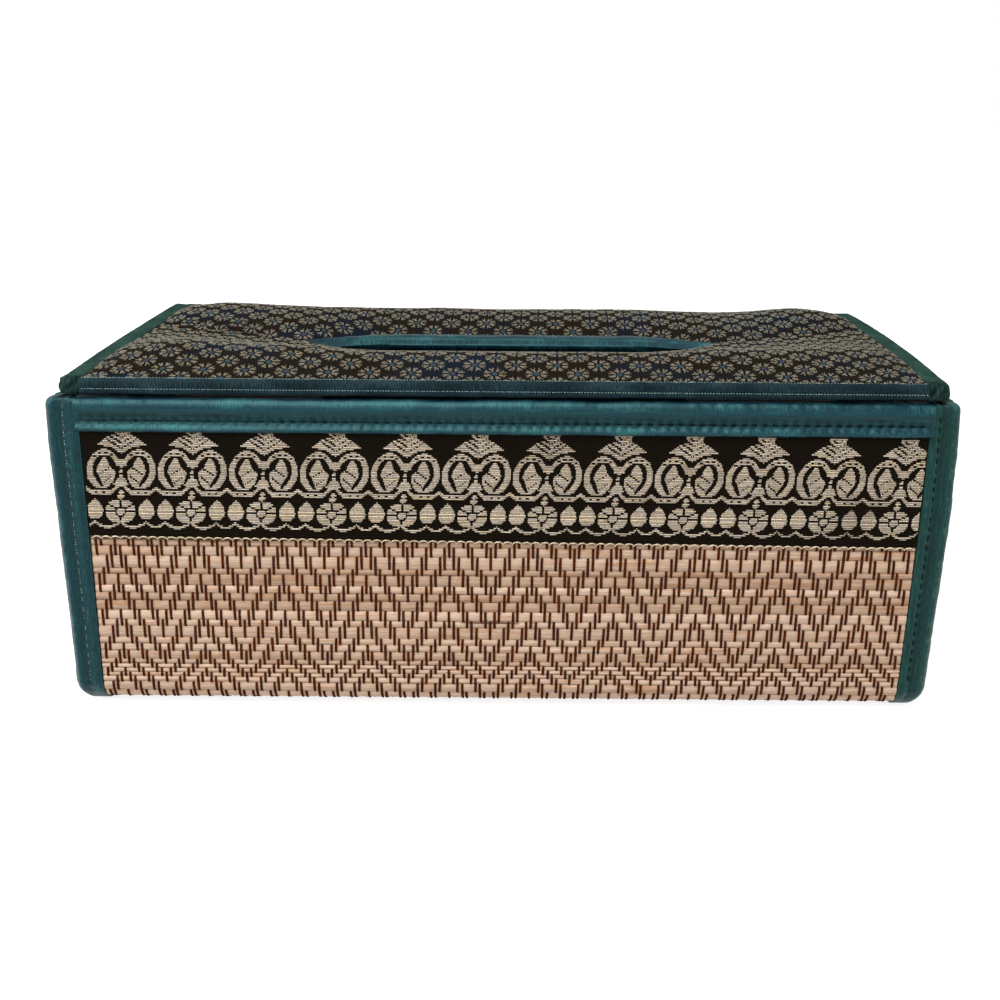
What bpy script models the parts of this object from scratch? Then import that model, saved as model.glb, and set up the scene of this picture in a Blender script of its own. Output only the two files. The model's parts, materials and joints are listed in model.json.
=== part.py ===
"""Tissue box cover: a fabric-bound case of board and reed matting with a padded, hinged lid.

Metres, +Z up. The origin is the centre of the underside, +X runs along the length and -Y is the front.
"""
import math

import bmesh
import bpy
from mathutils import Vector

# Overall size of the case
LENGTH = 0.250
DEPTH = 0.125
RIM_HEIGHT = 0.093
BOTTOM_RADIUS = 0.008

# Wall layers, from the outside in, and the clearance kept between any two pieces
SKIN = 0.0012
BOARD = 0.0024
LINING = 0.0012
GAP = 0.0003

# Ribbons on the case
EDGE_BINDING_WIDTH = 0.0075
RIM_BINDING_WIDTH = 0.009
BAND_WIDTH = 0.031

# Lid
LID_MARGIN = 0.0035
LID_LIFT = 0.0016
LID_RIBBON = 0.0006
LID_BOARD = 0.0020
LID_COVER = 0.0006
LID_CORNER_RADIUS = 0.005
LID_BINDING_WIDTH = 0.0055
LID_FRONT_LAP = 0.0015
LID_UNDER_LAP = 0.0065
HINGE_FABRIC = 0.0006

# Slot for the tissues
SLOT_LENGTH = 0.135
SLOT_WIDTH = 0.020
SLOT_CORNER_RADIUS = 0.009
SLOT_LIP = 0.004
SLOT_LIP_MARGIN = 0.0005

# Padding under the lid's cover: how far each part of it swells above the ribbon's top
FRONT_SWELL = 0.0042
REAR_SWELL = 0.0031
END_SWELL = 0.0010
CREASE_SWELL = 0.0016

# Shares that shape the swelling
SWELL_SKEW_SHARE = 1.4
SWELL_FULLNESS_SHARE = 0.6
SIDE_FADE_SHARE = 8
RING_SHARES = (0, 0.1, 0.25, 0.45, 0.65, 0.8, 0.92, 1)

# Hook-and-loop tapes that hold the front of the lid down
TAPE_LENGTH = 0.040
TAPE_WIDTH = 0.004
TAPE_END_DISTANCE = 0.055

# Roundness of the meshes, in steps
ARC_STEPS = 4
BEND_STEPS = 6
LONG_STEPS = 12
SHORT_STEPS = 4

# Heights and half sizes worked out from the sizes above
HALF_LENGTH = LENGTH / 2
HALF_DEPTH = DEPTH / 2
FOLD = SKIN + GAP
WALL = SKIN + GAP + BOARD + GAP + LINING
BOARD_INSET = SKIN + GAP
LINING_INSET = SKIN + GAP + BOARD + GAP
BOARD_TOP = RIM_HEIGHT - SKIN - GAP
FACE_HALF_LENGTH = HALF_LENGTH - EDGE_BINDING_WIDTH - GAP
FACE_HALF_DEPTH = HALF_DEPTH - EDGE_BINDING_WIDTH - GAP
RIM_BINDING_BASE = RIM_HEIGHT - RIM_BINDING_WIDTH
BAND_TOP = RIM_BINDING_BASE - GAP
BAND_BASE = BAND_TOP - BAND_WIDTH
MAT_TOP = BAND_BASE - GAP

LID_HALF = HALF_LENGTH - LID_MARGIN
LID_BASE = RIM_HEIGHT + LID_LIFT
LID_FOLD = LID_RIBBON + GAP
LID_BOARD_BASE = LID_BASE + LID_FOLD
LID_BOARD_TOP = LID_BOARD_BASE + LID_BOARD
LID_TOP = LID_BOARD_TOP + LID_FOLD
LID_BACK = HALF_DEPTH - HINGE_FABRIC - GAP
LID_FACE_HALF = LID_HALF - LID_BINDING_WIDTH - GAP
COVER_HALF_DEPTH = HALF_DEPTH - LID_FRONT_LAP - GAP
HINGE_HEIGHT = RIM_HEIGHT + LID_LIFT / 2
SLOT_HALF_LENGTH = SLOT_LENGTH / 2
SLOT_HALF_WIDTH = SLOT_WIDTH / 2
LIP_REACH = SLOT_LIP + SLOT_LIP_MARGIN

REED = (0.56, 0.38, 0.26)
BROCADE = (0.045, 0.035, 0.028)
SILVER = (0.38, 0.33, 0.26)
SATIN = (0.018, 0.115, 0.155)
SATIN_GREEN = (0.028, 0.100, 0.075)
SLATE = (0.020, 0.060, 0.078)
CARDBOARD = (0.42, 0.31, 0.20)
FOAM = (0.75, 0.72, 0.62)
LINING_CLOTH = (0.020, 0.022, 0.026)
TAPE = (0.015, 0.018, 0.022)


def clear_scene():
    for item in list(bpy.data.objects):
        bpy.data.objects.remove(item, do_unlink=True)


def new_collection(name):
    collection = bpy.data.collections.new(name)
    bpy.context.scene.collection.children.link(collection)
    return collection


def new_empty(name, collection, place):
    empty = bpy.data.objects.new(name, None)
    empty.location = place
    collection.objects.link(empty)
    return empty


def plain_material(name, colour, roughness):
    material = bpy.data.materials.new(name)
    material.use_nodes = True
    shader = material.node_tree.nodes["Principled BSDF"]
    shader.inputs["Base Color"].default_value = (*colour, 1)
    shader.inputs["Roughness"].default_value = roughness
    shader.inputs["Metallic"].default_value = 0
    return material


class Workshop:
    """Adds each finished mesh as a named object, on the case or on the lid."""

    def __init__(self, collection, case, lid):
        self.collection = collection
        self.parents = {"case": case, "lid": lid}

    def add(self, name, body, mesh, colour, roughness=0.7):
        parent = self.parents[body]
        bmesh.ops.remove_doubles(mesh, verts=mesh.verts, dist=GAP / 100)
        bmesh.ops.recalc_face_normals(mesh, faces=mesh.faces)
        bmesh.ops.translate(mesh, verts=mesh.verts, vec=-Vector(parent.location))
        data = bpy.data.meshes.new(name)
        mesh.to_mesh(data)
        mesh.free()
        data.materials.append(plain_material(name, colour, roughness))
        piece = bpy.data.objects.new(name, data)
        piece.parent = parent
        self.collection.objects.link(piece)
        return piece


def box(low, high):
    """A box between its low and its high corner."""
    low = Vector(low)
    high = Vector(high)
    mesh = bmesh.new()
    bmesh.ops.create_cube(mesh, size=1)
    bmesh.ops.scale(mesh, verts=mesh.verts, vec=high - low)
    bmesh.ops.translate(mesh, verts=mesh.verts, vec=(low + high) / 2)
    return mesh


def loft(rings, closed=False):
    """A body through a row of like rings of points, capped at both ends unless it closes on itself.

    Every four-sided face is split on the same diagonal, so that layers lofted alike lie parallel.
    """
    mesh = bmesh.new()
    rows = [[mesh.verts.new(point) for point in ring] for ring in rings]
    count = len(rings[0])
    pairs = list(zip(rows, rows[1:]))
    if closed:
        pairs.append((rows[-1], rows[0]))
    for row, following in pairs:
        for i in range(count):
            j = (i + 1) % count
            mesh.faces.new((row[i], row[j], following[j], following[i]))
    if not closed:
        mesh.faces.new(rows[0])
        mesh.faces.new(rows[-1])
    mesh.normal_update()
    bmesh.ops.triangulate(mesh, faces=mesh.faces, quad_method="FIXED")
    return mesh


def along_x(section, low, high):
    """A body of one section of (y, z) points, drawn out from low to high along X."""
    return loft([[(x, y, z) for y, z in section] for x in (low, high)])


def arc(centre, radius, start, end, steps):
    """Points on an arc; the angles are in degrees, measured from the first axis."""
    points = []
    for i in range(steps + 1):
        angle = math.radians(start + (end - start) * i / steps)
        points.append((centre[0] + radius * math.cos(angle), centre[1] + radius * math.sin(angle)))
    return points


def mirrored(section):
    return [(-y, z) for y, z in section]


def trough(inset, top):
    """The front, underside and back of the case as (y, z) points, at a depth under its outer skin."""
    radius = BOTTOM_RADIUS - inset
    centre_y = HALF_DEPTH - BOTTOM_RADIUS
    front_bend = arc((-centre_y, BOTTOM_RADIUS), radius, 180, 270, BEND_STEPS)
    back_bend = arc((centre_y, BOTTOM_RADIUS), radius, 270, 360, BEND_STEPS)
    face_y = HALF_DEPTH - inset
    return [(-face_y, top), *front_bend, *back_bend, (face_y, top)]


def trough_sheet(inset, thickness, top, half_length):
    outer = trough(inset, top)
    inner = trough(inset + thickness, top)
    return along_x(outer + inner[::-1], -half_length, half_length)


def bend_angle(radius, depth):
    """Angle on the front bottom bend, of a given radius, at a depth in from its outermost point."""
    return 180 + math.degrees(math.acos((radius - depth) / radius))


def front_board_section():
    radius = BOTTOM_RADIUS - BOARD_INSET
    outer_y = HALF_DEPTH - BOARD_INSET
    centre = (-(HALF_DEPTH - BOTTOM_RADIUS), BOTTOM_RADIUS)
    bend = arc(centre, radius, 180, bend_angle(radius, BOARD), BEND_STEPS)
    return [(-outer_y, BOARD_TOP), *bend, (-outer_y + BOARD, BOARD_TOP)]


def base_board_section():
    radius = BOTTOM_RADIUS - BOARD_INSET
    outer_y = HALF_DEPTH - BOARD_INSET - BOARD - GAP
    centre = (-(HALF_DEPTH - BOTTOM_RADIUS), BOTTOM_RADIUS)
    bend = arc(centre, radius, bend_angle(radius, BOARD + GAP), 270, BEND_STEPS)
    top = BOARD_INSET + BOARD
    return [(-outer_y, top), *bend, *mirrored(bend[::-1]), (outer_y, top)]


def build_boards(shop):
    """Five boards: three in the strip that runs front, base, back, and one at each end."""
    end_inner = HALF_LENGTH - BOARD_INSET - BOARD
    strip_half = end_inner - GAP
    front = front_board_section()
    shop.add("front_board", "case", along_x(front, -strip_half, strip_half), CARDBOARD, 0.9)
    shop.add("back_board", "case", along_x(mirrored(front), -strip_half, strip_half), CARDBOARD, 0.9)
    shop.add("base_board", "case", along_x(base_board_section(), -strip_half, strip_half), CARDBOARD, 0.9)
    end = trough(BOARD_INSET, BOARD_TOP)
    shop.add("left_end_board", "case", along_x(end, -end_inner - BOARD, -end_inner), CARDBOARD, 0.9)
    shop.add("right_end_board", "case", along_x(end, end_inner, end_inner + BOARD), CARDBOARD, 0.9)


def build_mats(shop):
    """Reed matting: one sheet round the front, underside and back, and a panel on each end."""
    shop.add("wrap_reed_mat", "case", trough_sheet(0, SKIN, MAT_TOP, FACE_HALF_LENGTH), REED, 0.75)
    low_z = EDGE_BINDING_WIDTH + GAP
    for name, low_x in (("left", -HALF_LENGTH), ("right", HALF_LENGTH - SKIN)):
        low = (low_x, -FACE_HALF_DEPTH, low_z)
        high = (low_x + SKIN, FACE_HALF_DEPTH, MAT_TOP)
        shop.add(f"{name}_end_reed_mat", "case", box(low, high), REED, 0.75)


def build_bands(shop):
    """The brocade ribbon under the rim, one length on each side of the case."""
    for name, low_y in (("front", -HALF_DEPTH), ("back", HALF_DEPTH - SKIN)):
        low = (-FACE_HALF_LENGTH, low_y, BAND_BASE)
        high = (FACE_HALF_LENGTH, low_y + SKIN, BAND_TOP)
        shop.add(f"{name}_brocade_band", "case", box(low, high), SILVER, 0.55)
    for name, low_x in (("left", -HALF_LENGTH), ("right", HALF_LENGTH - SKIN)):
        low = (low_x, -FACE_HALF_DEPTH, BAND_BASE)
        high = (low_x + SKIN, FACE_HALF_DEPTH, BAND_TOP)
        shop.add(f"{name}_brocade_band", "case", box(low, high), SILVER, 0.55)


def build_linings(shop):
    """Lining cloth: one sheet round the inside of the strip, and a panel on each end."""
    top = RIM_BINDING_BASE - GAP
    wrap_half = HALF_LENGTH - WALL - GAP
    shop.add("wrap_lining", "case", trough_sheet(LINING_INSET, LINING, top, wrap_half), LINING_CLOTH, 0.9)
    half_depth = HALF_DEPTH - LINING_INSET
    outer_x = HALF_LENGTH - LINING_INSET
    for name, low_x in (("left", -outer_x), ("right", outer_x - LINING)):
        low = (low_x, -half_depth, LINING_INSET)
        high = (low_x + LINING, half_depth, top)
        shop.add(f"{name}_end_lining", "case", box(low, high), LINING_CLOTH, 0.9)


def rim_section():
    """Ribbon folded over the rim, as (depth in from the face, height over the rim) points."""
    outer = [(0, -RIM_BINDING_WIDTH), (0, -FOLD), (FOLD, 0)]
    outer += [(WALL - FOLD, 0), (WALL, -FOLD), (WALL, -RIM_BINDING_WIDTH)]
    inner = [(WALL - SKIN, -RIM_BINDING_WIDTH), (WALL - SKIN, -FOLD), (WALL - FOLD, -SKIN)]
    inner += [(FOLD, -SKIN), (SKIN, -FOLD), (SKIN, -RIM_BINDING_WIDTH)]
    return outer + inner


def back_rim_section():
    """Cloth facing that climbs the inside of the back wall and covers the top of its board."""
    outer = [(LID_FOLD, 0), (WALL - FOLD, 0), (WALL, -FOLD), (WALL, -RIM_BINDING_WIDTH)]
    inner = [(WALL - SKIN, -RIM_BINDING_WIDTH), (WALL - SKIN, -FOLD), (WALL - FOLD, -SKIN)]
    return outer + inner + [(LID_FOLD, -SKIN)]


def build_rim(shop):
    section = rim_section()
    front = [(-HALF_DEPTH + depth, RIM_HEIGHT + height) for depth, height in section]
    shop.add("front_rim_binding", "case", along_x(front, -FACE_HALF_LENGTH, FACE_HALF_LENGTH), SATIN, 0.4)
    for name, side in (("left", -1), ("right", 1)):
        rings = []
        for y in (-FACE_HALF_DEPTH, FACE_HALF_DEPTH):
            ring = [(side * (HALF_LENGTH - depth), y, RIM_HEIGHT + height) for depth, height in section]
            rings.append(ring)
        shop.add(f"{name}_rim_binding", "case", loft(rings), SATIN, 0.4)
    facing = [(HALF_DEPTH - depth, RIM_HEIGHT + height) for depth, height in back_rim_section()]
    shop.add("back_rim_facing", "case", along_x(facing, -FACE_HALF_LENGTH, FACE_HALF_LENGTH), LINING_CLOTH, 0.9)


def corner_profile(side, point, inward, inset):
    """The ribbon's bend round a long edge: from one face, round the corner, onto the end panel."""
    y, z = point
    near = max(FOLD, inset)
    stops = (
        (EDGE_BINDING_WIDTH, inset),
        (near, inset),
        (inset, near),
        (inset, EDGE_BINDING_WIDTH),
    )
    profile = []
    for depth_x, depth_in in stops:
        place = (side * (HALF_LENGTH - depth_x), y + inward[0] * depth_in, z + inward[1] * depth_in)
        profile.append(place)
    return profile


def edge_stations():
    """Stops along an edge binding, as (outer point, outer inset, inner point, inner inset, inward)."""
    base = RIM_HEIGHT - RIM_BINDING_WIDTH
    shoulder = RIM_HEIGHT - FOLD
    under = RIM_HEIGHT - SKIN
    over_rim = (
        (base, WALL, base, WALL - SKIN),
        (shoulder, WALL, shoulder, WALL - SKIN),
        (RIM_HEIGHT, WALL - FOLD, under, WALL - FOLD),
        (RIM_HEIGHT, FOLD, under, FOLD),
        (shoulder, 0, shoulder, SKIN),
    )
    front = []
    for outer_z, outer_inset, inner_z, inner_inset in over_rim:
        outer = (-HALF_DEPTH, outer_z)
        inner = (-HALF_DEPTH, inner_z)
        front.append((outer, outer_inset, inner, inner_inset, (1, 0)))
    centre_y = HALF_DEPTH - BOTTOM_RADIUS
    for i in range(BEND_STEPS + 1):
        angle = math.radians(180 + 90 * i / BEND_STEPS)
        inward = (-math.cos(angle), -math.sin(angle))
        place = (-centre_y - BOTTOM_RADIUS * inward[0], BOTTOM_RADIUS - BOTTOM_RADIUS * inward[1])
        front.append((place, 0, place, SKIN, inward))
    back = []
    for outer, outer_inset, inner, inner_inset, inward in reversed(front):
        flipped = (-inward[0], inward[1])
        back.append(((-outer[0], outer[1]), outer_inset, (-inner[0], inner[1]), inner_inset, flipped))
    return front + back


def build_edge_bindings(shop):
    """A ribbon down each front corner, under the case and up the back corner, folded over the rim."""
    for name, side, colour in (("left", -1, SATIN), ("right", 1, SATIN_GREEN)):
        rings = []
        for outer, outer_inset, inner, inner_inset, inward in edge_stations():
            outside = corner_profile(side, outer, inward, outer_inset)
            inside = corner_profile(side, inner, inward, inner_inset)
            rings.append(outside + inside[::-1])
        shop.add(f"{name}_edge_binding", "case", loft(rings), colour, 0.4)


def tape(middle_x, low_z, thickness):
    """One tape on the middle line of the front wall's top."""
    middle_y = -HALF_DEPTH + WALL / 2
    low = (middle_x - TAPE_LENGTH / 2, middle_y - TAPE_WIDTH / 2, low_z)
    high = (middle_x + TAPE_LENGTH / 2, middle_y + TAPE_WIDTH / 2, low_z + thickness)
    return box(low, high)


def build_tapes(shop):
    thickness = (LID_LIFT - 3 * GAP) / 2
    hook_z = RIM_HEIGHT + GAP
    loop_z = hook_z + thickness + GAP
    middle = HALF_LENGTH - TAPE_END_DISTANCE
    for name, middle_x in (("left", -middle), ("right", middle)):
        shop.add(f"rim_{name}_hook_tape", "case", tape(middle_x, hook_z, thickness), TAPE, 0.8)
        shop.add(f"lid_{name}_loop_tape", "lid", tape(middle_x, loop_z, thickness), TAPE, 0.9)


def outline(half_x, front_y, back_y, radius):
    """A rounded rectangle, with the same number of points for any size, going round from the right."""
    corners = (
        ((half_x - radius, back_y - radius), 0, LONG_STEPS),
        ((-half_x + radius, back_y - radius), 90, SHORT_STEPS),
        ((-half_x + radius, front_y + radius), 180, LONG_STEPS),
        ((half_x - radius, front_y + radius), 270, SHORT_STEPS),
    )
    points = []
    for i, (centre, angle, steps) in enumerate(corners):
        points += arc(centre, radius, angle, angle + 90, ARC_STEPS)
        following, next_angle, _ = corners[(i + 1) % len(corners)]
        target = arc(following, radius, next_angle, next_angle, 1)[0]
        start = points[-1]
        for step in range(1, steps):
            share = step / steps
            points.append(tuple(a + (b - a) * share for a, b in zip(start, target)))
    return points


def slot_outline(offset):
    """The slot's edge, moved out into the lid by an offset."""
    half_width = SLOT_HALF_WIDTH + offset
    return outline(SLOT_HALF_LENGTH + offset, -half_width, half_width, SLOT_CORNER_RADIUS + offset)


def at_height(points, z):
    return [(x, y, z) for x, y in points]


def between(inner, outer, share):
    pairs = zip(inner, outer)
    return [tuple(a + (b - a) * share for a, b in zip(start, end)) for start, end in pairs]


def hump(share):
    """0 at both ends of a unit stretch and 1 in its middle, steep at the ends."""
    share = min(max(share, 0), 1)
    return max(math.sin(math.pi * share), 0) ** SWELL_FULLNESS_SHARE


def lid_height(x, y):
    """Height of the padded cover: a front and a rear swelling, with a valley on the slot's line."""
    along = abs(x)
    lip = SLOT_HALF_WIDTH + LIP_REACH
    slot_end = SLOT_HALF_LENGTH + LIP_REACH
    past_slot = min(max((along - slot_end) / (LID_FACE_HALF - slot_end), 0), 1)
    lip *= 1 - past_slot
    rise = min(max((abs(y) - lip) / (COVER_HALF_DEPTH - lip), 0), 1)
    lobe = hump(rise ** SWELL_SKEW_SHARE)
    fade = (1 - min(along / LID_FACE_HALF, 1) ** SIDE_FADE_SHARE) ** SWELL_FULLNESS_SHARE
    swell = FRONT_SWELL if y < 0 else REAR_SWELL
    swell += END_SWELL * hump(past_slot)
    crease = CREASE_SWELL * hump(past_slot) * (1 - rise)
    return LID_TOP + fade * swell * lobe + (1 - lobe) * crease


def padded_rings(first, last, drop):
    """Rings over the lid between two of the ring shares, at the cover's height less a drop."""
    inner = slot_outline(LIP_REACH)
    outer = outline(LID_FACE_HALF, -COVER_HALF_DEPTH, COVER_HALF_DEPTH, LID_FRONT_LAP)
    rings = []
    for share in RING_SHARES[first:last]:
        points = between(inner, outer, share)
        rings.append([(x, y, lid_height(x, y) - drop) for x, y in points])
    return rings


def build_lid_cover(shop):
    """The flowered cloth over the padding, and the padding itself, both cut out round the slot."""
    count = len(RING_SHARES)
    lip = slot_outline(LID_FOLD)
    top = [at_height(lip, LID_TOP)] + padded_rings(0, count, 0)
    under = [at_height(lip, LID_TOP - LID_COVER)] + padded_rings(0, count, LID_COVER)
    shop.add("lid_cover", "lid", loft(top + under[::-1], closed=True), BROCADE, 0.75)
    pad_top = padded_rings(1, count - 1, LID_COVER + GAP)
    pad_base = LID_BOARD_TOP + GAP
    inner_base = [(x, y, pad_base) for x, y, _ in pad_top[0]]
    outer_base = [(x, y, pad_base) for x, y, _ in pad_top[-1]]
    shop.add("lid_padding", "lid", loft(pad_top[::-1] + [inner_base, outer_base], closed=True), FOAM, 0.95)


def slotted_plate(inner, outer, base, top):
    rings = [at_height(inner, top), at_height(outer, top), at_height(outer, base), at_height(inner, base)]
    return loft(rings, closed=True)


def build_lid_panel(shop):
    """The stiff board in the lid and the cloth under it."""
    board_edge = outline(LID_HALF - LID_FOLD, -LID_BACK, LID_BACK, LID_CORNER_RADIUS - LID_FOLD)
    board = slotted_plate(slot_outline(LID_FOLD), board_edge, LID_BOARD_BASE, LID_BOARD_TOP)
    shop.add("lid_board", "lid", board, CARDBOARD, 0.9)
    front_y = -HALF_DEPTH + LID_UNDER_LAP + GAP
    lining_edge = outline(LID_FACE_HALF, front_y, LID_BACK, LID_FRONT_LAP)
    lining = slotted_plate(slot_outline(SLOT_LIP + GAP), lining_edge, LID_BASE, LID_BASE + LID_RIBBON)
    shop.add("lid_lining", "lid", lining, LINING_CLOTH, 0.9)


def ribbon_section(top, top_lap, under_lap):
    """Ribbon folded round the lid's thickness, as (depth in from the edge, height) points."""
    base = LID_BASE
    outer = [(top_lap, top), (LID_FOLD, top), (0, top - LID_FOLD)]
    outer += [(0, base + LID_FOLD), (LID_FOLD, base), (under_lap, base)]
    inner = [(under_lap, base + LID_RIBBON), (LID_RIBBON, base + LID_RIBBON)]
    inner += [(LID_RIBBON, top - LID_RIBBON), (top_lap, top - LID_RIBBON)]
    return outer + inner


def build_slot_binding(shop):
    """Satin folded through the slot, with a lip on the cover and a lip under the lid."""
    section = ribbon_section(LID_TOP + LID_FOLD, SLOT_LIP, SLOT_LIP)
    rings = [at_height(slot_outline(depth), z) for depth, z in section]
    shop.add("slot_binding", "lid", loft(rings, closed=True), SATIN, 0.4)


def build_lid_front_binding(shop):
    """Ribbon round the lid's front edge, narrow on top and wider underneath."""
    section = ribbon_section(LID_TOP, LID_FRONT_LAP, LID_UNDER_LAP)
    front = [(-HALF_DEPTH + depth, z) for depth, z in section]
    shop.add("lid_front_binding", "lid", along_x(front, -LID_FACE_HALF, LID_FACE_HALF), SLATE, 0.5)


def build_lid_side_bindings(shop):
    """Ribbon along each end of the lid and round its front corner."""
    inner_x = LID_HALF - LID_BINDING_WIDTH
    centre = (LID_HALF - LID_CORNER_RADIUS, -HALF_DEPTH + LID_CORNER_RADIUS)
    stops = [((inner_x, -HALF_DEPTH), (0, 1))]
    for place in arc(centre, LID_CORNER_RADIUS, 270, 360, ARC_STEPS):
        inward = ((centre[0] - place[0]) / LID_CORNER_RADIUS, (centre[1] - place[1]) / LID_CORNER_RADIUS)
        stops.append((place, inward))
    stops.append(((LID_HALF, LID_BACK), (-1, 0)))
    for name, side in (("left", -1), ("right", 1)):
        rings = []
        for place, inward in stops:
            lap = (inner_x, max(place[1], centre[1]))
            ring = []
            for depth, z in ribbon_section(LID_TOP, LID_BINDING_WIDTH, LID_BINDING_WIDTH):
                at_lap = depth == LID_BINDING_WIDTH
                x, y = lap if at_lap else (place[0] + inward[0] * depth, place[1] + inward[1] * depth)
                ring.append((side * x, y, z))
            rings.append(ring)
        shop.add(f"lid_{name}_binding", "lid", loft(rings), SATIN_GREEN, 0.4)


def build_hinge(shop):
    """The cover cloth carried over the lid's back edge and down the back wall: the fabric hinge."""
    cloth = HINGE_FABRIC
    back = HALF_DEPTH
    shoulder = LID_TOP - LID_FOLD
    stops = (
        (RIM_BINDING_BASE, FACE_HALF_LENGTH),
        (HINGE_HEIGHT, FACE_HALF_LENGTH),
        (LID_BASE, LID_FACE_HALF),
        (shoulder, LID_FACE_HALF),
    )
    rings = []
    for z, half in stops:
        rings.append([(-half, back, z), (half, back, z), (half, back - cloth, z), (-half, back - cloth, z)])
    half = LID_FACE_HALF
    for depth in (LID_FOLD, LID_FRONT_LAP):
        y = back - depth
        under = LID_TOP - cloth
        rings.append([(-half, y, LID_TOP), (half, y, LID_TOP), (half, y, under), (-half, y, under)])
    shop.add("hinge_fabric", "case", loft(rings), BROCADE, 0.75)


def build():
    clear_scene()
    collection = new_collection("tissue_box_cover")
    case = new_empty("case", collection, (0, 0, 0))
    lid = new_empty("lid_pivot", collection, (0, HALF_DEPTH, HINGE_HEIGHT))
    shop = Workshop(collection, case, lid)
    build_boards(shop)
    build_mats(shop)
    build_bands(shop)
    build_linings(shop)
    build_rim(shop)
    build_edge_bindings(shop)
    build_tapes(shop)
    build_lid_panel(shop)
    build_lid_cover(shop)
    build_slot_binding(shop)
    build_lid_front_binding(shop)
    build_lid_side_bindings(shop)
    build_hinge(shop)


build()
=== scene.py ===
"""Looks of the tissue box cover: woven reeds, brocade ribbon, satin bindings and a padded, flowered lid.

Metres, +Z up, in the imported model's frame, with the front at -Y. Every piece of cloth lies on a Surface,
whose places are (u, v): u runs to the right and v up, as seen from the side that the piece shows.
"""
import json
import math

import bpy
import numpy as np
from mathutils import Matrix, Vector


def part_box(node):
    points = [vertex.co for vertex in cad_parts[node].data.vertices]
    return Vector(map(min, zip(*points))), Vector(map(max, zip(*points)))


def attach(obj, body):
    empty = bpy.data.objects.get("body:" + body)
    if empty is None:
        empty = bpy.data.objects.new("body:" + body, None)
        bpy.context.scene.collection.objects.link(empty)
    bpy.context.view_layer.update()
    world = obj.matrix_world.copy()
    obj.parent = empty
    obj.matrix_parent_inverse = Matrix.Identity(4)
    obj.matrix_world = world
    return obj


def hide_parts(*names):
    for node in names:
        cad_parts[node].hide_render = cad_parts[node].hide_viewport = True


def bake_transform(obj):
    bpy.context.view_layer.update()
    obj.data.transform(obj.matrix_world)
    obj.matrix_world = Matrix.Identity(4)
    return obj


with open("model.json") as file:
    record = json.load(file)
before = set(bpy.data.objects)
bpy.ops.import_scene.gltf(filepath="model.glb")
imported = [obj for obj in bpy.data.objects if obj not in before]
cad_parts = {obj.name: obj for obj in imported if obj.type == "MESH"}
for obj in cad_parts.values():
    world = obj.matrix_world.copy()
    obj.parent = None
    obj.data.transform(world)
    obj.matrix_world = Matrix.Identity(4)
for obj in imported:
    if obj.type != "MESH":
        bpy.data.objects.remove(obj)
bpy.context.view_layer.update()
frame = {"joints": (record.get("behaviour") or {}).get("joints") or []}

MM = 0.001
TURN = 2 * math.pi

# Sizes of the case, read from the frame
low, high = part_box("right_edge_binding")
HALF_LENGTH, HALF_DEPTH = high.x, high.y
EDGE_WIDTH = high.x - low.x
low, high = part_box("front_rim_binding")
RIM_BASE, RIM_HEIGHT = low.z, high.z
WALL = high.y + HALF_DEPTH
low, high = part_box("front_brocade_band")
BAND_BASE, BAND_TOP = low.z, high.z
END_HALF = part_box("left_brocade_band")[1].y
FACE_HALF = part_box("wrap_reed_mat")[1].x
MAT_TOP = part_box("wrap_reed_mat")[1].z
END_MAT_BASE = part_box("left_end_reed_mat")[0].z
LINING_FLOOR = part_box("left_end_lining")[0].z
HINGE_HEIGHT = frame["joints"][0]["pos_m"][2]

# Sizes of the lid, read from the frame
low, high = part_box("lid_right_binding")
LID_BASE, LID_TOP = low.z, high.z
LID_HALF, LID_BACK = high.x, high.y
LID_BINDING_WIDTH = high.x - low.x
LID_SIDE_LAP = 5.4 * MM
LID_FACE_HALF = LID_HALF - LID_SIDE_LAP - 0.2 * MM
COVER_HALF_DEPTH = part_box("lid_cover")[1].y
LID_BOARD_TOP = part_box("lid_board")[1].z
LID_FRONT_LAP = HALF_DEPTH - COVER_HALF_DEPTH - 0.3 * MM
LID_UNDER_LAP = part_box("lid_front_binding")[1].y + HALF_DEPTH
SLOT_LIP = 4 * MM
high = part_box("slot_binding")[1]
SLOT_HALF_LENGTH, SLOT_HALF_WIDTH = high.x - SLOT_LIP, high.y - SLOT_LIP
SLOT_TOP = high.z

# The slot's near lip is narrow and drops; its far lip is wide and rolls over
NEAR_LIP = 1.1 * MM
NEAR_DROP = 2.0 * MM
FAR_ROLL = 2.8 * MM
FAR_ROLL_END = 67 * MM
FAR_ROLL_FADE = 7 * MM
FAR_DROP = 0.9 * MM
DROP_REACH = 9 * MM
DROP_END = 66 * MM
DROP_FADE = 14 * MM

# Shapes that the case and the lid share with the solids
BOTTOM_RADIUS = 8 * MM
FOLD = 1.5 * MM
LID_FOLD = 0.9 * MM
RIBBON = 0.6 * MM
LID_CORNER_RADIUS = 3 * MM
SLOT_CORNER_RADIUS = 9 * MM
LIP_REACH = SLOT_LIP + 0.5 * MM

# The pad's swellings before and behind the slot, as height, skew towards the edge, and pointedness
FRONT_SWELL = (4.3 * MM, 1.6, 1.5)
REAR_SWELL = (4.3 * MM, 0.8, 1.2)

# The swellings' lumps along the lid, as place, width and height, and the crease and valley between them
LEFT_FRONT_LUMP = (-97 * MM, 22 * MM, 1.6 * MM)
SLOT_END_LUMP = (62 * MM, 12 * MM, 0.7 * MM)
REAR_LUMPS = ((-72 * MM, 20 * MM, 1.2 * MM), (-98 * MM, 14 * MM, 1.3 * MM), (98 * MM, 14 * MM, 1.4 * MM))
CREASE_SWELL = 0.7 * MM
VALLEY_BEND = 20 * MM
SIDE_FADE_SHARE = 12

# The cover is drawn together past these places, as far as this share of the slot's width
CLOSING_START = 38 * MM
CLOSING_END = 65 * MM
CLOSED_SHARE = 0.93

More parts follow.
